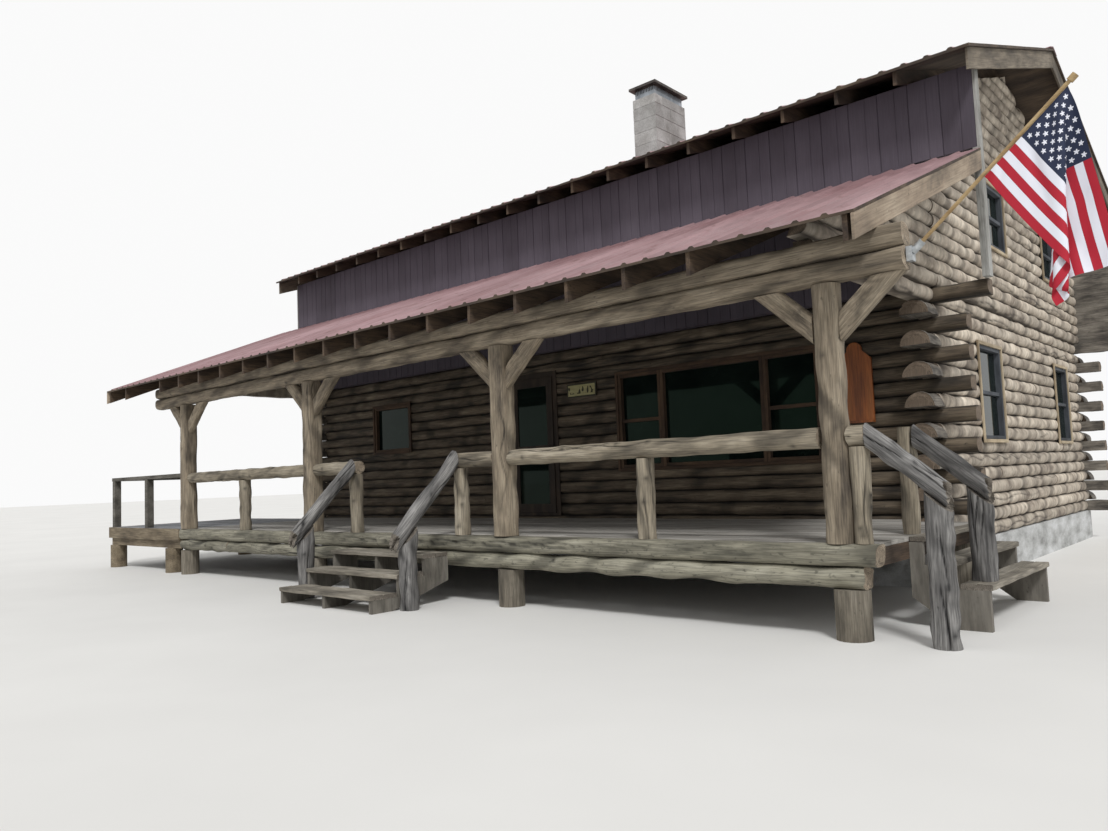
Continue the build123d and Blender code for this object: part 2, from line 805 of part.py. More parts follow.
# Log handrails, cut upright where they meet the porch rail, on round newels
front_fall = front_handrail_fall / front_handrail_reach
side_fall = side_handrail_fall / side_handrail_reach
front_half_height = handrail_radius / cos(atan(front_fall))
side_half_height = handrail_radius / cos(atan(side_fall))
handrail_y = post_y - rail_radius - seat_gap
handrail_xs = (front_step_left - front_handrail_out, front_step_right + front_handrail_out)
with BuildPart() as step_handrails:
    for x in handrail_xs:
        with BuildSketch(Plane(origin=(x, handrail_y, rail_z), x_dir=(1, 0, 0), z_dir=(0, -1, 0))) as profile:
            Ellipse(handrail_radius, front_half_height)
        run = Vector(0, -front_handrail_reach, -front_handrail_fall)
        extrude(profile.sketch, amount=run.length, dir=run.normalized())
    for x, y in ((rail_stub_end + seat_gap, post_y), (rail_stub_end + seat_gap, side_rail_far_y)):
        with BuildSketch(Plane(origin=(x, y, rail_z), x_dir=(0, 1, 0), z_dir=(1, 0, 0))) as profile:
            Ellipse(handrail_radius, side_half_height)
        run = Vector(side_handrail_reach, 0, -side_handrail_fall)
        extrude(profile.sketch, amount=run.length, dir=run.normalized())
save(step_handrails, "step_handrails")


def newel(x, y, foot, out, reach, fall, half_height):
    """A round newel whose top is cut to the underside of a rail that falls outward over it."""
    middle_top = rail_z - reach * fall - half_height - seat_gap
    slope_room = newel_radius * fall
    round_post(x, y, foot, middle_top + slope_room, newel_radius)
    along = Vector(*out)
    cut = Plane(origin=(x, y, middle_top), x_dir=along.cross(Vector(0, 0, 1)),
                z_dir=along * fall + Vector(0, 0, 1))
    with BuildSketch(cut) as over:
        Rectangle(4 * newel_radius, 4 * newel_radius)
    extrude(over.sketch, amount=2 * newel_radius, mode=Mode.SUBTRACT)


front_newel_y = handrail_y - front_handrail_reach + 2 * newel_radius
side_newel_x = rail_stub_end + side_handrail_reach - side_newel_inset
second_tread_top = porch_floor_height - 2 * step_rise + seat_gap
with BuildPart() as step_newels:
    for x in handrail_xs:
        newel(x, front_newel_y, 0, (0, -1, 0), handrail_y - front_newel_y, front_fall, front_half_height)
    for y, foot in ((post_y, 0), (side_rail_far_y, second_tread_top)):
        newel(side_newel_x, y, foot, (1, 0, 0), side_newel_x - rail_stub_end, side_fall, side_half_height)
save(step_newels, "step_newels")

# Side deck at the left end, boarded and carried on a frame and round piers
side_deck_right = beam_left - seat_gap
with BuildPart() as side_deck:
    box(side_deck_left + board_thickness + seat_gap, side_deck_right, beam_y_low + board_thickness + seat_gap,
        deck_back, deck_bottom, porch_floor_height)
save(side_deck, "side_deck")

with BuildPart() as side_deck_frame:
    rim_bottom = porch_floor_height - side_deck_rim_height
    rim_back = beam_y_low + board_thickness
    box(side_deck_left, side_deck_right, beam_y_low, rim_back, rim_bottom, porch_floor_height)
    box(side_deck_left, side_deck_left + board_thickness, rim_back + seat_gap, deck_back,
        rim_bottom, porch_floor_height)
    side_joist_run = side_deck_right - side_deck_left - board_thickness - seat_gap - floor_joist_width
    for n in range(6):
        x = side_deck_left + board_thickness + seat_gap + side_joist_run * n / 5
        box(x, x + floor_joist_width, rim_back + seat_gap, deck_back, joist_bottom, joist_top)
    side_beam_top = joist_bottom - seat_gap
    side_beam_bottom = side_beam_top - joist_depth
    for y_low in (rim_back + board_thickness, deck_back - beam_log_depth):
        box(side_deck_left + board_thickness + seat_gap, side_deck_right, y_low, y_low + beam_log_depth / 2,
            side_beam_bottom, side_beam_top)
        for x in (side_deck_left + side_deck_rim_height, side_deck_right - 2 * side_deck_rim_height):
            round_post(x, y_low + beam_log_depth / 4, 0, side_beam_bottom - seat_gap, pier_radius)
save(side_deck_frame, "side_deck_frame")

with BuildPart() as side_deck_rails:
    plank_top = porch_floor_height + rail_height
    plank_bottom = plank_top - side_rail_thickness
    plank_right = left_post - post_width / 2 - seat_gap
    side_rail_y = post_y - side_rail_width / 2
    box(side_deck_left, plank_right, side_rail_y, side_rail_y + side_rail_width, plank_bottom, plank_top)
    box(side_deck_left, side_deck_left + side_rail_width, side_rail_y + side_rail_width + seat_gap, deck_back,
        plank_bottom, plank_top)
    post_low = side_deck_left + board_thickness + seat_gap
    for x in (post_low, (side_deck_left + plank_right) / 2):
        box(x, x + side_rail_post, side_rail_y, side_rail_y + side_rail_post,
            porch_floor_height + seat_gap, plank_bottom - seat_gap)
    box(post_low, post_low + side_rail_post, deck_back - side_rail_post, deck_back,
        porch_floor_height + seat_gap, plank_bottom - seat_gap)
save(side_deck_rails, "side_deck_rails")

# Chimney: a hollow block stack from the ground, with a metal collar and lid
with BuildPart() as chimney:
    with BuildSketch():
        with Locations(((chimney_left + chimney_right) / 2, (chimney_front + chimney_back) / 2)):
            Rectangle(chimney_width, chimney_depth)
            Rectangle(chimney_width - 2 * flue_wall, chimney_depth - 2 * flue_wall, mode=Mode.SUBTRACT)
    extrude(amount=chimney_height)
save(chimney, "chimney")

with BuildPart() as chimney_cap:
    collar_bottom = chimney_height + seat_gap
    lid_bottom = collar_bottom + collar_height + seat_gap
    box(chimney_left + flue_wall / 2, chimney_right - flue_wall / 2, chimney_front + flue_wall / 2,
        chimney_back - flue_wall / 2, collar_bottom, collar_bottom + collar_height)
    box(chimney_left - cap_overhang, chimney_right + cap_overhang, chimney_front - cap_overhang,
        chimney_back + cap_overhang, lid_bottom, lid_bottom + cap_thickness)
save(chimney_cap, "chimney_cap")


def framed_opening(plane, width, height, panes, casing):
    """A frame with its bars in an opening, and a casing board in front of it."""
    with BuildSketch(plane.offset(casing_proud)) as ring:
        with Locations((width / 2, height / 2)):
            Rectangle(width - 2 * seat_gap, height - 2 * seat_gap)
        for left, right, low, high in panes:
            with Locations(((left + right) / 2, (low + high) / 2)):
                Rectangle(right - left, high - low, mode=Mode.SUBTRACT)
    extrude(ring.sketch, amount=-frame_depth - casing_proud)
    with BuildSketch(plane.offset(seat_gap)) as board:
        with Locations((width / 2, height / 2)):
            Rectangle(width + 2 * casing, height + 2 * casing)
            Rectangle(width - 2 * sash_width, height - 2 * sash_width, mode=Mode.SUBTRACT)
    extrude(board.sketch, amount=casing_proud - seat_gap)


def glass_sheet(plane, pane):
    """One sheet of glass, just clear of the bars round it."""
    left, right, low, high = pane
    with BuildSketch(plane.offset(-frame_depth / 2)) as sheet:
        with Locations(((left + right) / 2, (low + high) / 2)):
            Rectangle(right - left - 2 * glass_gap, high - low - 2 * glass_gap)
    extrude(sheet.sketch, amount=-glass_thickness)


def one_pane(width, height):
    """A single pane inside its frame."""
    return [(sash_width, width - sash_width, sash_width, height - sash_width)]


def two_panes(start, end, height):
    """Two sashes, one above the other."""
    middle = height / 2
    return [
        (start + sash_width, end - sash_width, sash_width, middle - sash_width / 2),
        (start + sash_width, end - sash_width, middle + sash_width / 2, height - sash_width),
    ]


def double_hung(width, height):
    """A window of two sashes as wide as its opening."""
    return two_panes(0, width, height)


def three_windows(width, height):
    """A fixed pane between two windows of two sashes each."""
    left = side_sash_width
    right = side_sash_width + picture_window_width
    return (two_panes(0, left, height) + two_panes(right, width, height)
            + [(left + sash_width, right - sash_width, sash_width, height - sash_width)])


# Windows: frames with casings, and the glass in them
windows = []


def add_windows(face, along, inward, openings, step, layout):
    """Note the plane, size and panes of each window of a wall."""
    for left, width, sill, head in openings:
        origin = face - inward * step + along * left + Vector(0, 0, course_z(sill))
        height = (head - sill) * course_pitch
        face_plane = Plane(origin=origin, x_dir=along, z_dir=-inward)
        windows.append((face_plane, width, height, layout(width, height)))


add_windows(front_face, east, north, front_openings[:1], 0, one_pane)
add_windows(front_face, east, north, front_openings[1:], 0, three_windows)
add_windows(Vector(0, half_depth, 0), -east, -north, rear_openings, 0, one_pane)
for side in (1, -1):
    end_face = Vector(side * half_length, 0, 0)
    for openings, step in ((end_openings, 0), (upper_openings, upper_storey_step)):
        placed = [(left if side > 0 else -left - width, width, sill, head)
                  for left, width, sill, head in openings]
        add_windows(end_face, north * side, east * -side, placed, step, double_hung)

with BuildPart() as window_frames:
    for plane, width, height, panes in windows:
        framed_opening(plane, width, height, panes, casing_width)
save(window_frames, "window_frames")

with BuildPart() as window_glass:
    for plane, width, height, panes in windows:
        for pane in panes:
            glass_sheet(plane, pane)
save(window_glass, "window_glass")

# Door: a frame in the opening and a glazed leaf hung outside it at the left
door_bottom = course_z(door_sill_course)
door_height = (door_head_course - door_sill_course) * course_pitch
door_plane = Plane(origin=(door_left, front_y, door_bottom), x_dir=(1, 0, 0), z_dir=(0, -1, 0))
leaf_left = door_left + door_jamb + door_running_gap
leaf_right = door_right - door_jamb - door_running_gap
leaf_bottom = door_bottom + door_jamb + door_running_gap
leaf_top = door_bottom + door_height - door_jamb - door_running_gap
leaf_front = front_y - door_casing_proud - leaf_proud
hinge_x = leaf_left - hinge_offset
hinge_zs = [leaf_bottom + door_rail, (leaf_bottom + leaf_top) / 2, leaf_top - door_rail - 2 * hinge_length]


def knuckle(low):
    """One barrel of a hinge."""
    with Locations((hinge_x, leaf_front, low)):
        Cylinder(hinge_radius, hinge_length, align=(Align.CENTER, Align.CENTER, Align.MIN))


with BuildPart() as door_frame:
    with BuildSketch(door_plane.offset(door_casing_proud)) as ring:
        with Locations((door_width / 2, door_height / 2)):
            Rectangle(door_width - 2 * seat_gap, door_height - 2 * seat_gap)
            Rectangle(door_width - 2 * door_jamb, door_height - 2 * door_jamb, mode=Mode.SUBTRACT)
    extrude(ring.sketch, amount=-frame_depth - door_casing_proud)
    with BuildSketch(door_plane.offset(seat_gap)) as casing:
        with Locations((door_width / 2, door_height / 2)):
            Rectangle(door_width + 2 * casing_width, door_height + 2 * casing_width)
            Rectangle(door_width - 2 * door_jamb, door_height - 2 * door_jamb, mode=Mode.SUBTRACT)
        with Locations((door_width / 2, -casing_width / 2)):
            Rectangle(door_width + 2 * casing_width, casing_width, mode=Mode.SUBTRACT)
    extrude(casing.sketch, amount=door_casing_proud - seat_gap)
    for low in hinge_zs:
        knuckle(low)
        box(hinge_x - hinge_block, hinge_x, leaf_front, front_y - door_casing_proud + 1,
            low, low + hinge_length)
save(door_frame, "door_frame")

pane_left = leaf_left + door_stile
pane_right = leaf_right - door_stile
mid_rail_bottom = leaf_bottom + door_mid_rail_height
panels = [
    (pane_left, pane_right, leaf_bottom + door_rail, mid_rail_bottom),
    (pane_left, pane_right, mid_rail_bottom + door_rail, leaf_top - door_rail),
]
with BuildPart() as front_door:
    box(leaf_left, leaf_right, leaf_front, leaf_front + door_leaf_thickness, leaf_bottom, leaf_top)
    for left, right, low, high in panels:
        with Locations(((left + right) / 2, leaf_front, (low + high) / 2)):
            Box(right - left, 4 * door_leaf_thickness, high - low, mode=Mode.SUBTRACT)
    for low in hinge_zs:
        upper = low + hinge_length + hinge_gap
        knuckle(upper)
        box(hinge_x, leaf_left + door_stile / 2, leaf_front - hinge_plate, leaf_front + 1,
            upper, upper + hinge_length)
    handle_x = leaf_right - door_stile / 2
    box(handle_x - handle_width / 2, handle_x + handle_width / 2, leaf_front - handle_reach, leaf_front + 1,
        mid_rail_bottom, mid_rail_bottom + handle_height)
save(front_door, "front_door")

with BuildPart() as front_door_glass:
    glass_front = leaf_front + (door_leaf_thickness - glass_thickness) / 2
    for left, right, low, high in panels:
        box(left + glass_gap, right - glass_gap, glass_front, glass_front + glass_thickness,
            low + glass_gap, high - glass_gap)
save(front_door_glass, "front_door_glass")

# Sign and wall board, hung flat on the front wall
wall_face = front_y - seat_gap
sign_left = door_right + sign_from_door
sign_bottom = porch_floor_height + sign_rise
wall_board_left = porch_window_left + porch_window_width + wall_board_from_window
wall_board_right = wall_board_left + wall_board_width
wall_board_bottom = porch_floor_height + wall_board_rise
with BuildPart() as wall_sign:
    box(sign_left, sign_left + sign_width, wall_face - sign_thickness, wall_face,
        sign_bottom, sign_bottom + sign_height)
save(wall_sign, "wall_sign")

with BuildPart() as wall_board:
    board_middle = wall_board_left + wall_board_width / 2
    head_z = wall_board_bottom + wall_board_height
    shoulder_z = head_z - wall_board_shoulder
    neck_z = (shoulder_z + head_z) / 2
    neck_left = (board_middle - wall_board_neck / 2, neck_z)
    neck_right = (board_middle + wall_board_neck / 2, neck_z)
    with BuildSketch(Plane.XZ.offset(-wall_face)) as outline:
        with BuildLine():
            Polyline(neck_left, (wall_board_left, shoulder_z), (wall_board_left, wall_board_bottom),
                     (wall_board_right, wall_board_bottom), (wall_board_right, shoulder_z), neck_right)
            ThreePointArc(neck_right, (board_middle, head_z), neck_left)
        make_face()
    extrude(outline.sketch, amount=sign_thickness)
    box(wall_board_left, wall_board_right, wall_face - wall_shelf_depth, wall_face,
        wall_board_bottom, wall_board_bottom + sign_thickness)
save(wall_board, "wall_board")

# Flag on a sloping pole from a bracket on the header's end
pole_way = Vector(pole_reach, 0, pole_climb).normalized()
pole_foot_z = header_bottom + pole_foot_rise
pole_foot = Vector(header_right + bracket_depth / 2, post_y, pole_foot_z)
socket_end = pole_foot + pole_way * socket_length
pole_tip = pole_foot + Vector(pole_reach, 0, pole_climb)
with BuildPart() as flag_bracket:
    box(header_right + seat_gap, header_right + bracket_depth, post_y - bracket_width / 2,
        post_y + bracket_width / 2, pole_foot_z - bracket_height / 2, pole_foot_z + bracket_height / 2)
    round_log(tuple(pole_foot + pole_way * bracket_depth / 2), tuple(socket_end), 2 * pole_radius)
save(flag_bracket, "flag_bracket")

with BuildPart() as flag_pole:
    round_log(tuple(socket_end + pole_way * seat_gap), tuple(pole_tip), pole_radius)
    round_log(tuple(pole_tip), tuple(pole_tip + pole_way * finial_length), finial_radius)
save(flag_pole, "flag_pole")

hang = Vector(pole_way.Z, 0, -pole_way.X) * (pole_radius + seat_gap)
inner_top = pole_foot + pole_way * flag_hoist_start + hang
outer_top = pole_foot + pole_way * flag_hoist_end + hang
with BuildPart() as flag:
    with BuildSketch(Plane.XZ.offset(-post_y - flag_thickness / 2)) as cloth:
        Polygon(
            (inner_top.X, inner_top.Z), (outer_top.X, outer_top.Z),
            (outer_top.X + flag_outer_drift, outer_top.Z - flag_outer_drop),
            (inner_top.X + flag_inner_drift, inner_top.Z - flag_inner_drop), align=None)
    extrude(cloth.sketch, amount=flag_thickness)
save(flag, "flag")
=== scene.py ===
import bpy
import numpy as np
from functools import partial
from math import radians
from mathutils import Matrix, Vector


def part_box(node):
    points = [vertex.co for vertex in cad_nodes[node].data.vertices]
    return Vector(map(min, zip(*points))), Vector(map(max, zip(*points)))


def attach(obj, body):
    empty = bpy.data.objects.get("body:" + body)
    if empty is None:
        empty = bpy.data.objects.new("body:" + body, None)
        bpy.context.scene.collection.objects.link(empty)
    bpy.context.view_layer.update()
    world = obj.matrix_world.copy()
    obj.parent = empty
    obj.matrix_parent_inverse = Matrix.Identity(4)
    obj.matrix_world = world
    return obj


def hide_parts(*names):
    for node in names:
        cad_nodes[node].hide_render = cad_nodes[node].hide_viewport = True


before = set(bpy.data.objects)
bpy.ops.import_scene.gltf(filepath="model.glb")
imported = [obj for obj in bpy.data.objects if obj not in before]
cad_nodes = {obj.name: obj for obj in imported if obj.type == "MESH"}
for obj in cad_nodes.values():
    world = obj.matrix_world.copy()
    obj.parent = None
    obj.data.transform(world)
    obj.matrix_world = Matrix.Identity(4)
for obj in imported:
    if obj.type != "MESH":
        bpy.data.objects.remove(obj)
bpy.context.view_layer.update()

# The view, from the front at the right end of the porch at eye height.
# The picture is a little rolled, so the camera's own right, up and back directions are given.
view_place = (8.736, -12.817, 1.310)
view_right = (0.7414, 0.6699, -0.0395)
view_up = (0.0778, -0.0274, 0.9966)
view_back = (0.6666, -0.7419, -0.0724)
camera = bpy.data.objects.new("view", bpy.data.cameras.new("view"))
camera.data.lens = 27.78
camera.data.sensor_width = 36
camera.matrix_world = Matrix([[*row, at] for row, at in zip(
    zip(view_right, view_up, view_back), view_place)] + [[0, 0, 0, 1]])
bpy.context.scene.collection.objects.link(camera)
bpy.context.scene.camera = camera
bpy.context.scene.view_settings.view_transform = "Standard"


def paint(colour):
    """Linear light, as shaders use it, of three screen values from 0 to 255 or of one plain grey level.
    A socket, or a colour that is linear already, stays as it is."""
    if isinstance(colour, float):
        return (colour, colour, colour, 1.0)
    if isinstance(colour, bpy.types.NodeSocket) or len(colour) == 4:
        return colour
    screen = np.array(colour) / 255
    linear = np.where(screen <= 0.04045, screen / 12.92, ((screen + 0.055) / 1.055) ** 2.4)
    return (*linear.tolist(), 1.0)


def node(tree, kind, inputs, **options):
    """Add a shader node, set its options, and fill or join its inputs, named or counted."""
    made = tree.nodes.new("ShaderNode" + kind)
    for option, value in options.items():
        setattr(made, option, value)
    for key, value in inputs.items():
        if isinstance(value, bpy.types.NodeSocket):
            tree.links.new(value, made.inputs[key])
        else:
            made.inputs[key].default_value = value
    return made


def reckon(tree, kind, *values):
    """One step of arithmetic in a shader."""
    return node(tree, "Math", dict(enumerate(values)), operation=kind).outputs[0]


# The studio: a pale floor, an even white surround, and one broad soft lamp from the front right.
# The surround is bright only to the camera and to reflections, and lights the house at half level.
surround_light = 0.62
surround_seen = 0.96
lamp_strength = 1.9
studio = bpy.data.worlds.new("studio")
bpy.context.scene.world = studio
studio.use_nodes = True
sky = studio.node_tree
rays = node(sky, "LightPath", {}).outputs
seen = reckon(sky, "MAXIMUM", rays["Is Camera Ray"], rays["Is Glossy Ray"])
seen = reckon(sky, "MAXIMUM", seen, rays["Is Transmission Ray"])
level = node(sky, "MapRange", {"Value": seen, "To Min": surround_light, "To Max": surround_seen})
background = sky.nodes["Background"]
background.inputs["Color"].default_value = paint(1.0)
sky.links.new(level.outputs[0], background.inputs["Strength"])

lamp = bpy.data.objects.new("soft_lamp", bpy.data.lights.new("soft_lamp", "SUN"))
lamp.data.energy = lamp_strength
lamp.data.angle = radians(12)
lamp.rotation_euler = (radians(42), 0, radians(48))
bpy.context.scene.collection.objects.link(lamp)

floor_reach = 150.0
floor_mesh = bpy.data.meshes.new("floor")
floor_mesh.from_pydata([(-floor_reach, -floor_reach, 0), (floor_reach, -floor_reach, 0),
                        (floor_reach, floor_reach, 0), (-floor_reach, floor_reach, 0)], [], [(0, 1, 2, 3)])
floor = bpy.data.objects.new("floor", floor_mesh)
bpy.context.scene.collection.objects.link(floor)


def new_finish(name, roughness, metallic=0.0):
    """A new material with its node tree and its main shader."""
    material = bpy.data.materials.new(name)
    material.use_nodes = True
    surface = material.node_tree.nodes["Principled BSDF"]
    surface.inputs["Roughness"].default_value = roughness
    surface.inputs["Metallic"].default_value = metallic
    return material, material.node_tree, surface


def noise(tree, place, stretch, detail=4.0, roughness=0.6):
    """Cloud noise at a place that is first stretched along each axis."""
    scaled = node(tree, "VectorMath", {0: place, 1: stretch}, operation="MULTIPLY")
    cloud = node(tree, "TexNoise", {"Vector": scaled.outputs[0], "Scale": 1.0, "Detail": detail,
                                    "Roughness": roughness})
    return cloud.outputs[0]


def ramp(tree, value, *stops):
    """The colour of a value, read between stops, each a place from 0 to 1 and a colour."""
    made = node(tree, "ValToRGB", {0: value})
    band = made.color_ramp.elements
    for number, (at, colour) in enumerate(stops):
        element = band[number] if number < 2 else band.new(at)
        element.position = at
        element.color = paint(colour)
    return made.outputs[0]


def blend(tree, factor, under, over, kind="MIX"):
    """One colour over another."""
    made = node(tree, "Mix", {0: factor, 6: paint(under), 7: paint(over)}, data_type="RGBA", blend_type=kind)
    return made.outputs[2]


def weighed(tree, shade, value, *stops):
    """A colour made darker or lighter by a value that is read between stops."""
    return blend(tree, 1.0, shade, ramp(tree, value, *stops), "MULTIPLY")


def coat(tree, surface, shade, height=None, strength=0.5, distance=0.004):
    """Join a colour to the main shader, and with it a height where the surface is rough."""
    tree.links.new(shade, surface.inputs["Base Color"])
    if height is not None:
        bump = node(tree, "Bump", {"Strength": strength, "Distance": distance, "Height": height})
        tree.links.new(bump.outputs[0], surface.inputs["Normal"])


def clouded(name, roughness, stretch, detail, *stops, metallic=0.0):
    """A finish coloured by one cloud in the piece's own space, and what further layers need of it."""
    material, tree, surface = new_finish(name, roughness, metallic)
    place = node(tree, "TexCoord", {}).outputs["Object"]
    cloud = noise(tree, place, stretch, detail)
    shade = ramp(tree, cloud, *stops)
    coat(tree, surface, shade)
    return material, tree, surface, place, cloud, shade


floor_finish, *_ = clouded("floor_finish", 0.9, (0.4, 0.4, 0.4), 3.0, (0.3, (222, 221, 218)), (0.7, (228, 227, 224)))
floor_mesh.materials.append(floor_finish)

# Wood, as every log, board and beam here shows it: sawn or peeled, and weathered bare or painted.
# Grain runs along each piece; "grain" is metres along and round it, "tone" one number per piece,
# and a third number per point darkens it: painted shade in a check, between two bulges or between two logs, and dark
# knots.


def marked(tree, label):
    """The number that each point of a mesh carries under a label."""
    return node(tree, "Attribute", {}, attribute_name=label).outputs["Fac"]


def darkened_by_shade_and_knots(tree, shade, deep, level):
    """A colour darkened towards the deep shade at a low level by painted shade in checks, wave valleys and crevices
    between logs, and by dark knots.
    """
    return blend(tree, marked(tree, "hollow"), shade, (*[level * part for part in paint(deep)[:3]], 1.0))


def grain_place(tree, along):
    """Where a point lies in the grain: along it first, then across it."""
    if along is None:
        flat = node(tree, "UVMap", {}, uv_map="grain").outputs[0]
        apart = node(tree, "SeparateXYZ", {0: flat}).outputs
        parts = (apart[0], apart[1], reckon(tree, "MULTIPLY", marked(tree, "tone"), 40.0))
    else:
        apart = node(tree, "SeparateXYZ", {0: node(tree, "TexCoord", {}).outputs["Object"]}).outputs
        parts = [apart[axis] for axis in {"X": (0, 1, 2), "Y": (1, 0, 2), "Z": (2, 0, 1)}[along]]
    return node(tree, "CombineXYZ", dict(enumerate(parts))).outputs[0]


def wood(name, deep, middle, pale, along=None, patch=(1.7, 6.0), streak=(4.0, 85.0), streak_depth=0.45,
         speck_at=0.66, relief=0.5, roughness=0.85):
    """Slow patches pick the colour, streaks along the grain and dark specks go over it; painted shade darkens checks,
    wave valleys and crevices between logs, and knots are darker.
    """
    material, tree, surface = new_finish(name, roughness)
    place = grain_place(tree, along)
    patches = noise(tree, place, (patch[0], patch[1], patch[1]), 5.0)
    streaks = noise(tree, place, (streak[0], streak[1], streak[1]), 3.0)
    specks = noise(tree, place, (16.0, 30.0, 30.0), 2.0)
    shade = ramp(tree, patches, (0.30, deep), (0.72, pale), (0.50, middle))
    shade = weighed(tree, shade, streaks, (0.34, 1 - streak_depth), (0.62, 1.08))
    shade = blend(tree, ramp(tree, specks, (speck_at, 0.0), (speck_at + 0.1, 0.75)), shade, deep)
    shade = weighed(tree, shade, marked(tree, "tone"), (0.0, 0.80), (1.0, 1.14))
    height = reckon(tree, "ADD", streaks, patches)
    coat(tree, surface, darkened_by_shade_and_knots(tree, shade, deep, 0.28), height, relief, 0.006)
    return material


def end_grain(name, deep, middle, pale):
    """Sawn end of a log: growth rings about the pith, broken by grey blotches and drying cracks."""
    material, tree, surface = new_finish(name, 0.9)
    flat = node(tree, "UVMap", {}, uv_map="grain").outputs[0]
    cloud = noise(tree, flat, (14.0, 14.0, 14.0), 4.0)
    shifted = node(tree, "VectorMath", {0: flat, 1: node(tree, "CombineXYZ", {0: cloud}).outputs[0]}, operation="ADD")
    rings = node(tree, "TexWave", {"Vector": flat, "Scale": 22.0, "Distortion": 2.0, "Detail": 2.0},
                 wave_type="RINGS", rings_direction="SPHERICAL").outputs["Fac"]
    blotch = noise(tree, shifted.outputs[0], (9.0, 9.0, 9.0), 4.0)
    shade = ramp(tree, blotch, (0.3, deep), (0.7, pale), (0.5, middle))
    shade = weighed(tree, shade, rings, (0.2, 0.8), (0.8, 1.05))
    # Near the rim, painted shade from checks, wave valleys and crevices, and dark knots, darken the cut end too.
    coat(tree, surface, darkened_by_shade_and_knots(tree, shade, deep, 0.3), cloud)
    return material


def oval(half_wide, half_high, squareness=2.0, count=40):
    """Points round a section: a circle at squareness 2, nearer a square with round corners above it."""
    turn = np.linspace(0, 2 * np.pi, count, endpoint=False) + np.pi / count
    wide = np.sign(np.cos(turn)) * np.abs(np.cos(turn)) ** (2 / squareness)
    high = np.sign(np.sin(turn)) * np.abs(np.sin(turn)) ** (2 / squareness)
    return np.stack((half_wide * wide, half_high * high), axis=1)


def plank(width, thickness, edge=0.004):
    """Points round a board's section, with its four edges taken off."""
    wide, high = width / 2, thickness / 2
    return np.array([(wide, -high + edge), (wide, high - edge), (wide - edge, high), (edge - wide, high),
                     (-wide, high - edge), (-wide, edge - high), (edge - wide, -high), (wide - edge, -high)])


def outward_of(outline):
    """Unit directions square to a section's edge at each point, pointing out."""
    edge = np.roll(outline, -1, axis=0) - np.roll(outline, 1, axis=0)
    square = np.stack((edge[:, 1], -edge[:, 0]), axis=1)
    return square / np.linalg.norm(square, axis=1, keepdims=True)


rng = np.random.default_rng(1)


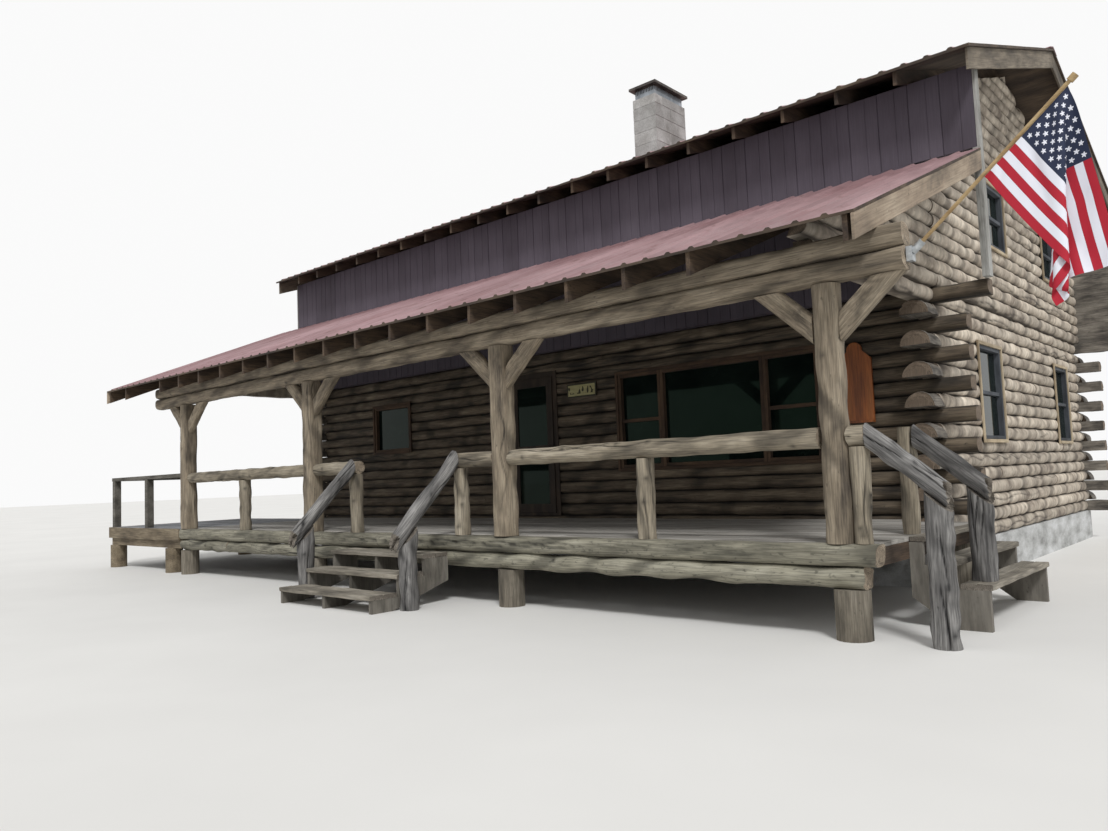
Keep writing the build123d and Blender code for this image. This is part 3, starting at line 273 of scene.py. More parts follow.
def timber(start, run, side, up, outline, step=0.06, swell=0.0, lengths=(0.15, 1.2), bow=0.0, knots=0,
           knot_height=0.006, checks=0, check_depth=0.012, check_width=0.007, ragged=0.0, inner_rings=(0.55,),
           loose=None, finish=None, tone=None, winding=4, crevice_shade=0.0):
    """A length of wood as rings, its section carried along the run. Each point moves out or in by a sum of
    waves along and round the log, by round knots, and by narrow checks; the ends close in smaller rings."""
    start, run, side, up = (np.array(part, float) for part in (start, run, side, up))
    length = np.linalg.norm(run)
    count = max(2, int(round(length / step)) + 1)
    share = np.linspace(0, 1, count)[:, None]
    along = share * length
    edge = np.linalg.norm(np.roll(outline, -1, axis=0) - outline, axis=1)
    round_it = np.concatenate(([0.0], np.cumsum(edge)))
    turn = (round_it[:-1] / round_it[-1] * 2 * np.pi)[None, :]
    reach = round_it[-1] / (2 * np.pi)
    moved = np.zeros((count, len(outline)))
    # Painted shade: each point darkens by how deep it lies between two logs, in the valleys of the waves and in
    # checks; knots darken too, as the wood's own colour.
    shade_and_knot_map = np.zeros_like(moved) + crevice_shade
    if swell:
        waves = 7
        for _ in range(waves):
            wave = 2 * np.pi * along / rng.uniform(*lengths) + rng.integers(0, winding) * turn + rng.uniform(0, 6.28)
            moved += np.sin(wave) * swell / np.sqrt(waves)
        shade_and_knot_map += np.clip(-moved / swell - 0.3, 0, 1) * 0.55
    for _ in range(knots):
        away = (turn - rng.uniform(0, 2 * np.pi) + np.pi) % (2 * np.pi) - np.pi
        spot = ((along - rng.uniform(0, length)) / 0.05) ** 2 + (away * reach / 0.045) ** 2
        moved += knot_height * np.exp(-spot)
        shade_and_knot_map += 0.8 * np.exp(-4 * spot)
    for _ in range(checks):
        middle, half = rng.uniform(0, length), rng.uniform(0.15, 0.5) * length
        drift = 0.25 * np.sin(2 * np.pi * along / rng.uniform(0.5, 1.5) + rng.uniform(0, 6.28))
        away = (turn - rng.uniform(0, 2 * np.pi) - drift + np.pi) % (2 * np.pi) - np.pi
        open_here = np.clip(1 - np.abs(along - middle) / half, 0, 1) ** 0.5
        groove = np.exp(-(away * reach / check_width) ** 2) * open_here
        moved -= check_depth * groove
        shade_and_knot_map += groove
    weight = np.ones(len(outline)) if loose is None else loose
    flat = outline[None] + outward_of(outline)[None] * (moved * weight[None])[..., None]
    if bow:
        sway = np.sin(np.pi * share * rng.uniform(0.8, 1.6)) * bow
        flat = flat + sway[..., None] * np.array((np.cos(rng.uniform(0, 6.28)), np.sin(rng.uniform(0, 6.28))))
    rings = start + share[..., None] * run + flat[..., :1] * side + flat[..., 1:] * up
    way = run / length
    back_cut = ragged * (0.5 + 0.5 * np.sin(turn[0] * rng.integers(1, 4) + rng.uniform(0, 6.28)))
    rings[0] += back_cut[:, None] * way
    rings[-1] -= np.roll(back_cut, len(outline) // 3)[:, None] * way
    first, last = [], []
    for scale in inner_rings:
        for end, kept, sign in ((0, first, 1), (-1, last, -1)):
            middle = rings[end].mean(axis=0)
            pit = ragged * 0.5 * np.sin(turn[0] * 2 + rng.uniform(0, 6.28)) * scale
            kept.append((middle + (rings[end] - middle) * scale + sign * pit[:, None] * way, flat[end] * scale))
    stack = [ring for ring, _ in reversed(first)] + list(rings) + [ring for ring, _ in last]
    local = [ring for _, ring in reversed(first)] + list(flat) + [ring for _, ring in last]
    spare = len(inner_rings)
    ends = np.zeros(len(stack) - 1, bool)
    ends[:spare] = True
    if spare:
        ends[-spare:] = True
    deep = np.concatenate((np.zeros((spare, len(outline))), shade_and_knot_map, np.zeros((spare, len(outline)))))
    far = np.concatenate((np.zeros(spare), along[:, 0], np.full(spare, length)))
    return {"rings": np.array(stack), "local": np.array(local), "far": far, "round": round_it + rng.uniform(0, 5),
            "ends": ends, "hollow": np.clip(deep, 0, 1), "tone": rng.uniform(0, 1) if tone is None else tone,
            "finish": np.zeros(len(outline), int) if finish is None else finish}


def piece(name, timbers, finishes, replaced, crease=40):
    """One mesh from many lengths. Quads join ring to ring and one face closes each end. The last finish is
    the sawn ends'; the others are picked point by point round the section."""
    points, corners, starts, places, tones, hollows, kinds = [], [], [], [], [], [], []
    first_point = 0
    first_corner = 0
    for bar in timbers:
        rings = bar["rings"]
        count, around = rings.shape[:2]
        index = first_point + np.arange(count * around).reshape(count, around)
        turned = np.roll(index, -1, axis=1)
        quads = np.stack((index[:-1], turned[:-1], turned[1:], index[1:]), axis=-1)
        skin = np.stack(np.broadcast_arrays(bar["far"][:, None], bar["round"][None, :]), axis=-1)
        cut = np.concatenate((bar["local"], bar["local"][:, :1]), axis=1)

        def at_corners(grid):
            return np.stack((grid[:-1, :-1], grid[:-1, 1:], grid[1:, 1:], grid[1:, :-1]), axis=2)

        spread = np.where(bar["ends"][:, None, None, None], at_corners(cut), at_corners(skin))
        kind = np.where(bar["ends"][:, None], len(finishes) - 1, np.broadcast_to(bar["finish"], quads.shape[:2]))
        corners += [quads.ravel(), index[0][::-1], index[-1]]
        starts += [first_corner + 4 * np.arange(quads.shape[0] * around),
                   first_corner + np.array([quads.size, quads.size + around])]
        places += [spread.reshape(-1, 2), bar["local"][0][::-1], bar["local"][-1]]
        kinds += [kind.ravel(), np.array([len(finishes) - 1] * 2)]
        points.append(rings.reshape(-1, 3))
        tones.append(np.full(count * around, bar["tone"]))
        hollows.append(bar["hollow"].ravel())
        first_point += count * around
        first_corner += quads.size + 2 * around
    mesh = bpy.data.meshes.new(name)
    points, corners, starts = np.concatenate(points), np.concatenate(corners), np.concatenate(starts)
    mesh.vertices.add(len(points))
    mesh.vertices.foreach_set("co", points.ravel())
    mesh.loops.add(len(corners))
    mesh.loops.foreach_set("vertex_index", corners.astype(np.int32))
    mesh.polygons.add(len(starts))
    mesh.polygons.foreach_set("loop_start", starts.astype(np.int32))
    mesh.polygons.foreach_set("material_index", np.concatenate(kinds).astype(np.int32))
    mesh.update(calc_edges=True)
    mesh.uv_layers.new(name="grain").data.foreach_set("uv", np.concatenate(places).ravel())
    for label, values in (("tone", tones), ("hollow", hollows)):
        mesh.attributes.new(label, "FLOAT", "POINT").data.foreach_set("value", np.concatenate(values))
    mesh.polygons.foreach_set("use_smooth", np.ones(len(starts), bool))
    mesh.set_sharp_from_angle(angle=radians(crease))
    for finish in finishes:
        mesh.materials.append(finish)
    made = bpy.data.objects.new(name, mesh)
    bpy.context.scene.collection.objects.link(made)
    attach(made, "house")
    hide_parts(replaced)


def dress(finish, *names):
    """Give a CAD node its finish."""
    for name in names:
        for holder in cad_nodes[name].material_slots:
            holder.material = finish


X, Y, Z = np.eye(3)

# Foundation: poured concrete walls that the lowest logs rest on, cast between boards and left bare.
# They are pale grey, clouded lighter and darker, with fine grit.
concrete, tree, surface, place, cloud, shade = clouded(
    "poured_concrete", 0.92, (2.2, 2.2, 5.0), 6.0, (0.3, (136, 136, 134)), (0.68, (212, 213, 214)),
    (0.5, (184, 185, 184)))
grit = noise(tree, place, (60.0, 60.0, 60.0), 2.0)
coat(tree, surface, weighed(tree, shade, grit, (0.3, 0.86), (0.6, 1.05)), grit)
dress(concrete, "foundation")

# Log walls: logs flat on bed, top and inside and round outside, one on the other in even courses.
# At the corners the two walls' logs run past each other in turns. The porch wall is stained dark,
# and the end walls are bare, scalloped by the drawknife and blotched by weather.
bed_height = 0.44
course_pitch = 0.16
log_gap = 0.0005
log_depth = 0.18
log_crevice = 0.060
half_length = 5.8
half_depth = 3.5
corner_run = 0.33
corner_log_middle = 5.685
half_round_wide, half_round_high = 0.153, 0.1575
free_trim = 0.03
wing_half_length = 6.35
plate_course = 16
gable_courses = (17, 39)
infill_courses = (17, 25)
upper_courses = (17, 30)
gable_face = 5.84
ridge_height = 6.78
main_rise = 0.3425
main_under = 0.1960
porch_rise = 0.4
porch_eave_y = -6.93
porch_eave_z = 3.15
porch_under = 0.0436

shade_logs = wood("stained_logs", (56, 50, 43), (104, 92, 77), (140, 126, 106), patch=(1.3, 9.0))
shade_ends = end_grain("stained_log_ends", (64, 58, 52), (112, 98, 84), (146, 130, 112))
sun_logs = wood("bare_logs", (132, 120, 108), (190, 178, 162), (224, 213, 196), patch=(3.0, 4.0),
                streak=(13.0, 3.0), streak_depth=0.32, speck_at=0.70)
corner_logs = wood("corner_logs", (66, 63, 60), (116, 110, 102), (150, 144, 134), patch=(3.0, 9.0))


def wall_section(depth):
    """Round outer face from bed to top as part of a circle squeezed flat, then the flat top, back and bed.
    Also given: how freely each point moves, and how much painted shade it gets in the crevice between two logs."""
    rise = np.linspace(0.004, 0.996, 11)
    inset = log_crevice * (1 - np.sqrt(1 - (2 * rise - 1) ** 2))
    top = course_pitch - log_gap
    face = np.stack((-inset, rise * top), axis=1)
    shadow = np.clip((np.abs(2 * rise - 1) - 0.72) / 0.2, 0, 1) ** 2
    return (np.concatenate((face, [(-depth, top), (-depth, 0.0)])), np.concatenate((np.ones(len(rise)), (0, 0))),
            np.concatenate((shadow, (0, 0))))


def wall_timbers(face, outward, spans, step=0.05, swell=0.005, lengths=(0.25, 0.9), depth=log_depth):
    """The logs of one wall face: each span is its low and high place along the wall, and its course.
    Only ends past the corners vary in length, because the others meet a frame."""
    outline, loose, shadow = wall_section(depth)
    way = np.cross(outward, Z)
    logs = []
    for low, high, course, free_low, free_high in spans:
        low = low + (rng.uniform(0, free_trim) if free_low else 0)
        high = high - (rng.uniform(0, free_trim) if free_high else 0)
        start = np.abs(way) * (low if way.sum() > 0 else high) + np.abs(outward) * face
        logs.append(timber(start + Z * (bed_height + course * course_pitch), way * (high - low), outward, Z, outline,
                           step=step, swell=swell, lengths=lengths, knots=int((high - low) / 2), checks=1,
                           check_depth=0.008, check_width=0.010, ragged=0.006, loose=loose, winding=2, crevice_shade=shadow))
    return logs


def butted(spans, shortest=1.6):
    """Cut most long courses in two at an uneven place, where two logs are butted end to end."""
    cut = []
    for low, high, course, free_low, free_high in spans:
        if high - low < shortest or rng.uniform() > 0.75:
            cut.append((low, high, course, free_low, free_high))
            continue
        place = rng.uniform(low + 0.5, high - 0.5)
        cut.append((low, place - 0.003, course, free_low, False))
        cut.append((place + 0.003, high, course, False, free_high))
    return cut


def spans_of(course, low, high, gaps, free):
    """The stretches of one course between its ends, clear of the openings that it meets."""
    edges = [low] + [edge for left, right, sill, head in gaps if sill <= course < head and low < right and left < high
                     for edge in (left, right)] + [high]
    return [(edges[n], edges[n + 1], course, free and n == 0, free and n == len(edges) - 2)
            for n in range(0, len(edges), 2)]


def long_reach(course):
    """Half the length of a front or rear course."""
    if course == plate_course:
        return wing_half_length
    return half_length + corner_run if course % 2 == 0 else half_length - log_depth - log_gap


def end_reach(course):
    """Half the length of an end-wall course, short of its rounded ends."""
    return half_depth if course % 2 else half_depth - log_depth - log_gap


def corner_ends(side):
    """The ends of an end wall's odd courses past the corners: halves of a log with the sawn side down."""
    turn = np.linspace(0.03, np.pi - 0.03, 24)
    half_round = np.stack((half_round_wide * np.cos(turn), half_round_high * np.sin(turn)), axis=1)
    logs = []
    for course in range(1, plate_course, 2):
        for way in (1, -1):
            logs.append(timber((side * corner_log_middle, way * half_depth, bed_height + course * course_pitch),
                               Y * way * (corner_run - rng.uniform(0, 0.02)), X * -way, Z, half_round, step=0.03,
                               swell=0.004, lengths=(0.15, 0.5), knots=1, knot_height=0.01, checks=2, ragged=0.01,
                               inner_rings=(0.85, 0.6, 0.3)))
    return logs


door_left, door_right = -0.5, 0.4
door_courses = (2, 15)
front_gaps = [(-3.99, -2.99, 9, 14), (1.57, 4.47, 6, 14)]
rear_gaps = [(-4.1, -3.1, 9, 14), (-0.5, 0.5, 9, 14), (3.1, 4.1, 9, 14)]
end_gaps = [(-2.08, -1.18, 7, 14), (1.68, 2.48, 7, 14)]
upper_gaps = [(-1.48, -0.70, 22, 27), (1.30, 2.08, 22, 27)]
end_walls = (("right", 1, 0.04), ("left", -1, 0.06))

for name, sign in (("left", -1), ("right", 1)):
    spans = []
    for course in range(*door_courses):
        reach = long_reach(course)
        low, high = (-reach, door_left) if sign < 0 else (door_right, reach)
        spans += [(left, right, number, free_low and sign < 0, free_high and sign > 0)
                  for left, right, number, free_low, free_high
                  in spans_of(course, low, high, front_gaps, reach > half_length)]
    piece("front_logs_" + name, wall_timbers(-half_depth, -Y, spans, swell=0.003, lengths=(0.3, 1.5)),
          (shade_logs, shade_ends), "front_wall_" + name)

spans = []
for course in (0, 1, 15, plate_course):
    reach = long_reach(course)
    spans.append((-reach, reach, course, reach > half_length, reach > half_length))
piece("front_through_logs", wall_timbers(-half_depth, -Y, spans, swell=0.004, lengths=(0.3, 1.5)),
      (shade_logs, shade_ends), "front_wall_through_logs")

spans = [span for course in range(plate_course + 1)
         for span in spans_of(course, -long_reach(course), long_reach(course), rear_gaps, course % 2 == 0)]
piece("rear_logs", wall_timbers(half_depth, Y, spans, step=0.08), (corner_logs, shade_ends), "rear_wall")

end_spans = [span for course in range(plate_course + 1)
             for span in spans_of(course, -end_reach(course), end_reach(course), end_gaps, False)]
for name, side, step in end_walls:
    logs = wall_timbers(side * half_length, X * side, butted(end_spans), step=step, swell=0.0055)
    piece(name + "_logs_lower", logs, (sun_logs, shade_ends), name + "_wall_lower")
    piece(name + "_corner_ends", corner_ends(side), (corner_logs, shade_ends), name + "_wall_lower")

# Gables: the end walls carried up to the rafters in the same even courses of bare logs.
# Both ends of each course are cut to the slope of the roof.
gable_reach = 3.4595
gable_spans = []
for course in range(*gable_courses):
    bed = bed_height + course * course_pitch
    reach = min(gable_reach, (ridge_height - main_under - bed) / main_rise)
    gable_spans += spans_of(course, -reach, reach, upper_gaps, False)


def cut_to_gable(logs):
    """Bring back every point that lies past the slope, so that both ends follow the underside of the roof."""
    for log in logs:
        rings = log["rings"]
        room = np.clip((ridge_height - main_under - rings[..., 2]) / main_rise, 0.02, gable_reach)
        rings[..., 1] = np.clip(rings[..., 1], -room, room)
        rings[..., 2] = np.minimum(rings[..., 2], ridge_height - main_under)
    return logs


for name, side, step in end_walls:
    logs = wall_timbers(side * gable_face, X * side, gable_spans, step=step, swell=0.0055)
    piece(name + "_gable_logs", cut_to_gable(logs), (sun_logs, shade_ends), name + "_wall_upper")

# Porch ends: a tie log from the wall to the header, and over it the gable's logs carried on.
# Their front ends are cut to the slope of the porch roof.
header_front_y = -6.525
header_back_y = -6.3345
infill_end_y = -3.4605
infill_spans = [(header_front_y, infill_end_y, course, False, False) for course in range(*infill_courses)]


def cut_to_porch_roof(logs):
    """Bring back every point that lies before the slope, so that the front ends follow the porch roof."""
    for log in logs:
        rings = log["rings"]
        line = (rings[..., 2] + porch_under + 0.001 - porch_eave_z) / porch_rise + porch_eave_y
        rings[..., 1] = np.maximum(rings[..., 1], np.clip(line, header_front_y, infill_end_y - 0.02))
    return logs


porch_end = []
for side in (1, -1):
    outward = X * side
    porch_end += wall_timbers(side * half_length, outward,
                              [(header_back_y, -half_depth - log_gap, plate_course, False, False)], step=0.04)
    porch_end += cut_to_porch_roof(wall_timbers(side * gable_face, outward, infill_spans, step=0.04, swell=0.0055))
piece("porch_end_timbers", porch_end, (sun_logs, shade_ends), "porch_end_logs")

# Floors and rafters: sawn softwood nailed together, brown under the roofs.
# The porch rafters show their bare ends at the eave.
dress(wood("inside_boards", (92, 72, 50), (140, 112, 80), (168, 138, 102), along="X"), "ground_floor", "upper_floor")
dress(wood("rafter_wood", (48, 38, 32), (84, 68, 54), (116, 96, 76), along="Y"),
      "main_rafters", "porch_rafters", "porch_joists")

# Upper walls: in front grooved board sheets nailed upright to a stud frame, stained very dark brown.
# Every third of a metre a deep joint shows, with a shallow groove between two. The rear wall is of logs.
sheet_width = 0.3256
sheet_count = 39
sheet_bed = 3.16
wing_bed = 4.4905
sheet_top = 5.3567
gable_inside = 5.6595
sheet_out = 3.58
sheet_in = 3.46
dark_boards = wood("dark_boards", (73, 66, 75), (84, 77, 87), (95, 88, 98), patch=(0.5, 1.0),
                   streak=(2.5, 120.0), streak_depth=0.10, speck_at=0.85, relief=0.2)
joint, groove = 0.010, 0.004
sheet_face = np.array([
    (-sheet_width / 2, -0.010), (-sheet_width / 2 + joint / 2, -0.010), (-sheet_width / 2 + joint, 0.0),
    (0.02, 0.0), (0.02 + groove, -0.005), (0.02 + 2 * groove, -0.005), (0.02 + 3 * groove, 0.0),
    (sheet_width / 2 - joint / 2, 0.0), (sheet_width / 2, -0.010)])
sheet_outline = np.concatenate((sheet_face[::-1], [(-sheet_width / 2, sheet_in - sheet_out),
                                                   (sheet_width / 2, sheet_in - sheet_out)]))
sheets = []
for number in range(sheet_count):
    middle = (number - sheet_count // 2) * sheet_width
    low = wing_bed if abs(middle) + sheet_width / 2 > gable_inside else sheet_bed
    sheets.append(timber((middle, -sheet_out, low), Z * (sheet_top - low), X, -Y, sheet_outline, step=0.5,
                         inner_rings=(), tone=rng.uniform(0.4, 0.6)))
filler_edge = 16.5 * sheet_width
for side in (1, -1):
    filler = (filler_edge + gable_inside) / 2 * side
    sheets.append(timber((filler, (sheet_in - sheet_out) / 2 - sheet_in, sheet_bed), Z * (wing_bed - sheet_bed),
                         X, -Y, plank(gable_inside - filler_edge, sheet_out - sheet_in - 0.004), step=0.5,
                         inner_rings=(), tone=0.5))
piece("board_sheets", sheets, (dark_boards, dark_boards), "upper_walls", crease=20)

upper_spans = [(-wing_half_length, wing_half_length, course, False, False) for course in range(*upper_courses)]
upper_logs = wall_timbers(sheet_out, Y, upper_spans, step=0.08, depth=sheet_out - sheet_in)
top_bed = bed_height + upper_courses[1] * course_pitch
upper_logs.append(timber((wing_half_length, (sheet_out + sheet_in) / 2, (top_bed + sheet_top) / 2),
                         -X * 2 * wing_half_length, Y, Z, plank(sheet_out - sheet_in - 0.004, sheet_top - top_bed),
                         step=0.1, swell=0.001))
piece("rear_upper_logs", upper_logs, (corner_logs, shade_ends), "upper_walls")

dress(wood("trim_wood", (120, 118, 112), (168, 167, 162), (198, 198, 194), along="Z", streak_depth=0.3),
      "corner_trims")

# Roofs: ribbed painted steel on boards, red brown and faded by the sun, with a rib every 23 centimetres.
# Boards on edge close both slopes where they pass the end walls.
rib_pitch, rib_height = 0.229, 0.018
rib_foot, rib_crown = 0.034, 0.014
roof_metal, tree, surface, place, cloud, shade = clouded(
    "faded_roof_metal", 0.5, (0.6, 0.35, 0.35), 4.0, (0.35, (138, 104, 106)), (0.65, (170, 138, 141)), metallic=0.25)
run_off = noise(tree, place, (9.0, 0.7, 0.7), 4.0)
grime = noise(tree, place, (3.0, 3.0, 3.0), 6.0)
shade = weighed(tree, shade, run_off, (0.3, 0.78), (0.62, 1.06))
coat(tree, surface, blend(tree, ramp(tree, grime, (0.58, 0.0), (0.76, 0.6)), shade, (92, 72, 64)))
tree.links.new(ramp(tree, grime, (0.3, 0.38), (0.7, 0.7)), surface.inputs["Roughness"])
under_boards = wood("under_boards", (46, 38, 33), (78, 65, 54), (104, 88, 72), along="X", streak_depth=0.35)


def ribbed_outline(low, high, thickness, flip=1):
    """Top edge of a roof sheet with a rib at every pitch, then its flat underside, as seen from the eave."""
    count = int((high - low) / rib_pitch)
    first = (high - low - count * rib_pitch) / 2
    across, height = [low], [-rib_height]
    for number in range(count):
        middle = low + first + number * rib_pitch + 0.5 * rib_pitch
        across += [middle - rib_foot, middle - rib_crown, middle + rib_crown, middle + rib_foot]
        height += [-rib_height, 0.0, 0.0, -rib_height]
    across += [high]
    height += [-rib_height]
    top = np.stack((np.array(across) * flip, np.array(height)), axis=1)[::flip]
    ends = np.array([(low * flip, -thickness), (high * flip, -thickness)])[::flip]
    outline = np.concatenate((top[::-1], ends))
    kinds = np.zeros(len(outline), int)
    kinds[len(top) - 1:] = 1
    return outline, kinds


def roof_slope(low, high, near_y, far_y, top, thickness):
    """One sheet of roof from its upper edge near the ridge or wall down to its eave."""
    flip = 1 if far_y < near_y else -1
    outline, kinds = ribbed_outline(low, high, thickness, flip)
    start = (0, near_y, top(near_y))
    return timber(start, (0, far_y - near_y, top(far_y) - top(near_y)), X * flip, Z, outline, step=0.35,
                  swell=0.0015, lengths=(0.8, 2.0), inner_rings=(), finish=kinds, tone=0.5)


def main_top(y):
    """Height of the main roof over a place in depth."""
    return ridge_height - main_rise * abs(y)


def porch_top(y):
    """Height of the porch roof over a place in depth."""
    return porch_eave_z + porch_rise * (y - porch_eave_y)


roof_end = 6.45
main_eave = 4.0
main_thickness, porch_thickness = 0.0475, 0.0431
ridge_gap = 0.0003
hole_left, hole_right, hole_front, hole_back = 1.0995, 1.5205, -2.1805, -1.3595
porch_roof_left, porch_roof_right = -7.11, 6.38
porch_roof_start = -3.5805
board_on_edge = 0.024
main_slopes = [roof_slope(*sheet, main_top, main_thickness) for sheet in (
    (-roof_end, hole_left, -ridge_gap, -main_eave), (hole_right, roof_end, -ridge_gap, -main_eave),
    (hole_left, hole_right, -ridge_gap, hole_back), (hole_left, hole_right, hole_front, -main_eave),
    (-roof_end, roof_end, ridge_gap, main_eave))]
porch_slope = roof_slope(porch_roof_left, porch_roof_right, porch_roof_start, porch_eave_y, porch_top,
                         porch_thickness)
for name, slopes in (("main_roof", main_slopes), ("porch_roof", [porch_slope])):
    piece(name + "_sheets", slopes, (roof_metal, under_boards, under_boards), name)
dress(roof_metal, "ridge_cap")
barge_wood = wood("barge_wood", (100, 91, 80), (170, 152, 132), (200, 184, 162), patch=(1.4, 2.0),
                  streak=(2.5, 60.0), streak_depth=0.25)
rake_wood = wood("rake_wood", (74, 68, 60), (118, 108, 94), (150, 140, 124), patch=(1.4, 4.0),
                 streak=(2.5, 60.0), streak_depth=0.35)


def slope_board(x, near, far, top, drop, depth):
    """A board on edge under the end of a roof, cut upright at both ends, from the wall or ridge down to the eave."""
    start = (x, near, top(near) - drop - depth / 2)
    return timber(start, (0, far - near, top(far) - top(near)), X if far < near else -X, Z,
                  plank(board_on_edge, depth - 0.002), step=0.25, swell=0.001, lengths=(0.8, 2.0), inner_rings=())


barge_xs, barge_drop, barge_depth = (-7.0975, 6.3675), porch_under, 0.1987
rake_x, rake_near, rake_far, rake_drop, rake_depth = 6.4125, 0.0005, 3.95, 0.0481, 0.2272
barges = [slope_board(x, porch_roof_start, porch_eave_y, porch_top, barge_drop, barge_depth) for x in barge_xs]
rakes = [slope_board(side * rake_x, sign * rake_near, sign * rake_far, main_top, rake_drop, rake_depth)
         for side in (1, -1) for sign in (1, -1)]
for name, boards, finish in (("barge_boards", barges, barge_wood), ("main_rake_boards", rakes, rake_wood)):
    piece(name, boards, (finish, finish), "rake_boards", crease=30)

# Porch frame: two header logs on four posts with knee braces, all peeled logs with knots and drying cracks.
# The right post is round, and the other three are hewn square.
porch_logs = wood("porch_logs", (92, 83, 72), (146, 133, 114), (182, 169, 148), patch=(1.5, 7.0))
porch_log_ends = end_grain("porch_log_ends", (84, 76, 66), (146, 132, 114), (186, 172, 152))
post_y = -6.43
post_width = 0.22
floor_height = 0.72
header_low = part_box("header_logs")[0].z
header_left, header_right = -6.1, 6.56
header_height = 0.18
seat_gap = 0.0005
headers = [timber((header_left, post_y, header_low + (layer + 0.5) * header_height),
                  X * (header_right - header_left), Y, Z, oval(0.094, 0.0885, 3.0, 36), step=0.05, swell=0.004,
                  lengths=(0.25, 2.0), knots=16, checks=5, ragged=0.012, inner_rings=(0.8, 0.4)) for layer in range(2)]
piece("header_timbers", headers, (porch_logs, porch_log_ends), "header_logs")

post_xs = [5.92, 2.262, -1.396, -5.054]
posts = [timber((x, post_y, floor_height), Z * (header_low - floor_height - seat_gap), X, Y,
                oval(post_width / 2, post_width / 2, squareness, 48), step=0.04, swell=0.005, bow=0.004,
                lengths=(0.3, 1.5), knots=6, knot_height=0.008, checks=5, inner_rings=(0.5,))
         for x, squareness in zip(post_xs, (2.0, 4.0, 4.0, 4.0))]
piece("post_timbers", posts, (porch_logs, porch_log_ends), "porch_posts")

brace_foot = header_low - 0.462
brace_foot_high = 0.24
brace_near, brace_head_near, brace_far = 0.1105, 0.36, 0.62
brace_half = 0.055
braces = []
for x in post_xs:
    for side in (-1, 1):
        foot = np.array([(brace_near * side, brace_foot), (brace_near * side, brace_foot + brace_foot_high)])
        head = np.array([(brace_far * side, header_low - seat_gap), (brace_head_near * side, header_low - seat_gap)])
        share = (oval(brace_half, 1.0, 4.0, 20)[:, 1:] + 1) / 2
        low_end = foot[0] + (foot[1] - foot[0]) * share
        high_end = head[0] + (head[1] - head[0]) * share
        bar = timber((0, 0, 0), Z, X, Y, oval(brace_half, 0.08, 4.0, 20), step=0.08, swell=0.004, knots=1,
                     inner_rings=())
        plane = low_end[None] + (high_end - low_end)[None] * bar["rings"][:, :, 2:3]
        away = bar["local"][:, :, 0] * side
        bar["rings"] = np.stack((x + plane[..., 0], post_y + away, plane[..., 1]), axis=-1)
        braces.append(bar)
piece("brace_timbers", braces, (porch_logs, porch_log_ends), "knee_braces")

# Porch floor: boards along the house on joists, behind two stacked beam logs, on short round piers.
# The lower beam log is pieced, and rough with old bark and lichen.
beam_logs = wood("beam_logs", (84, 82, 72), (138, 134, 118), (168, 164, 148), patch=(1.2, 6.0), speck_at=0.6)
beam_left, beam_right = -5.18, 6.23
deck_right = 6.16
beam_low_y, beam_high_y = -6.555, -6.345
beam_middle_y = (beam_low_y + beam_high_y) / 2
upper_beam_z, lower_beam_z = floor_height - 0.0855, floor_height - 0.2555
beams = [timber((beam_left, beam_middle_y, upper_beam_z), X * (beam_right - beam_left), Y, Z,
                oval(0.104, 0.0845, 3.2, 40), step=0.05, swell=0.004, lengths=(0.3, 2.5), knots=12, checks=5,
                knot_height=0.005, ragged=0.02, inner_rings=(0.8, 0.4))]
beams += [timber((low, beam_middle_y - 0.004, lower_beam_z), X * (high - low), Y, Z, oval(0.098, 0.0825, 2.4, 40),
                 step=0.045, swell=0.008, lengths=(0.2, 1.2), knots=8, checks=3, ragged=0.02, inner_rings=(0.8, 0.4))
          for low, high in ((beam_left + 0.05, -3.6), (-3.59, 1.2), (1.21, beam_right - 0.1))]
piece("beam_timbers", beams, (beam_logs, porch_log_ends), "porch_beam_logs")
dress(wood("pier_wood", (88, 82, 72), (134, 126, 112), (160, 152, 138), along="Z"), "porch_piers")

deck_boards = wood("deck_boards", (124, 119, 111), (170, 166, 159), (198, 195, 189), patch=(0.8, 6.0),
                   streak=(2.5, 110.0))
deck_thickness = 0.038
board_width = 0.14
longest_board = 4.2


def decking(low_x, high_x, low_y, high_y):
    """Boards along X with narrow gaps, butted at uneven places along each row."""
    rows = int(round((high_y - low_y) / board_width))
    pitch = (high_y - low_y) / rows
    boards = []
    for row in range(rows):
        y = low_y + (row + 0.5) * pitch
        butts = np.arange(low_x + rng.uniform(1.0, longest_board), high_x - 0.6, longest_board)
        cuts = [low_x, *butts, high_x]
        for left, right in zip(cuts[:-1], cuts[1:]):
            boards.append(timber((left + 0.001, y, floor_height - deck_thickness / 2 - rng.uniform(0, 0.002)),
                                 X * (right - left - 0.002), Y, Z, plank(pitch - 0.005, deck_thickness - 0.002),
                                 step=0.6, inner_rings=()))
    return boards


deck_back, deck_wall_y, deck_wall_half = -3.8305, -3.5005, 5.5295
deck = decking(beam_left, deck_right, beam_high_y + seat_gap, deck_back)
deck += decking(-deck_wall_half, deck_wall_half, deck_back + seat_gap, deck_wall_y)
piece("deck_boarding", deck, (deck_boards, deck_boards), "porch_deck", crease=30)

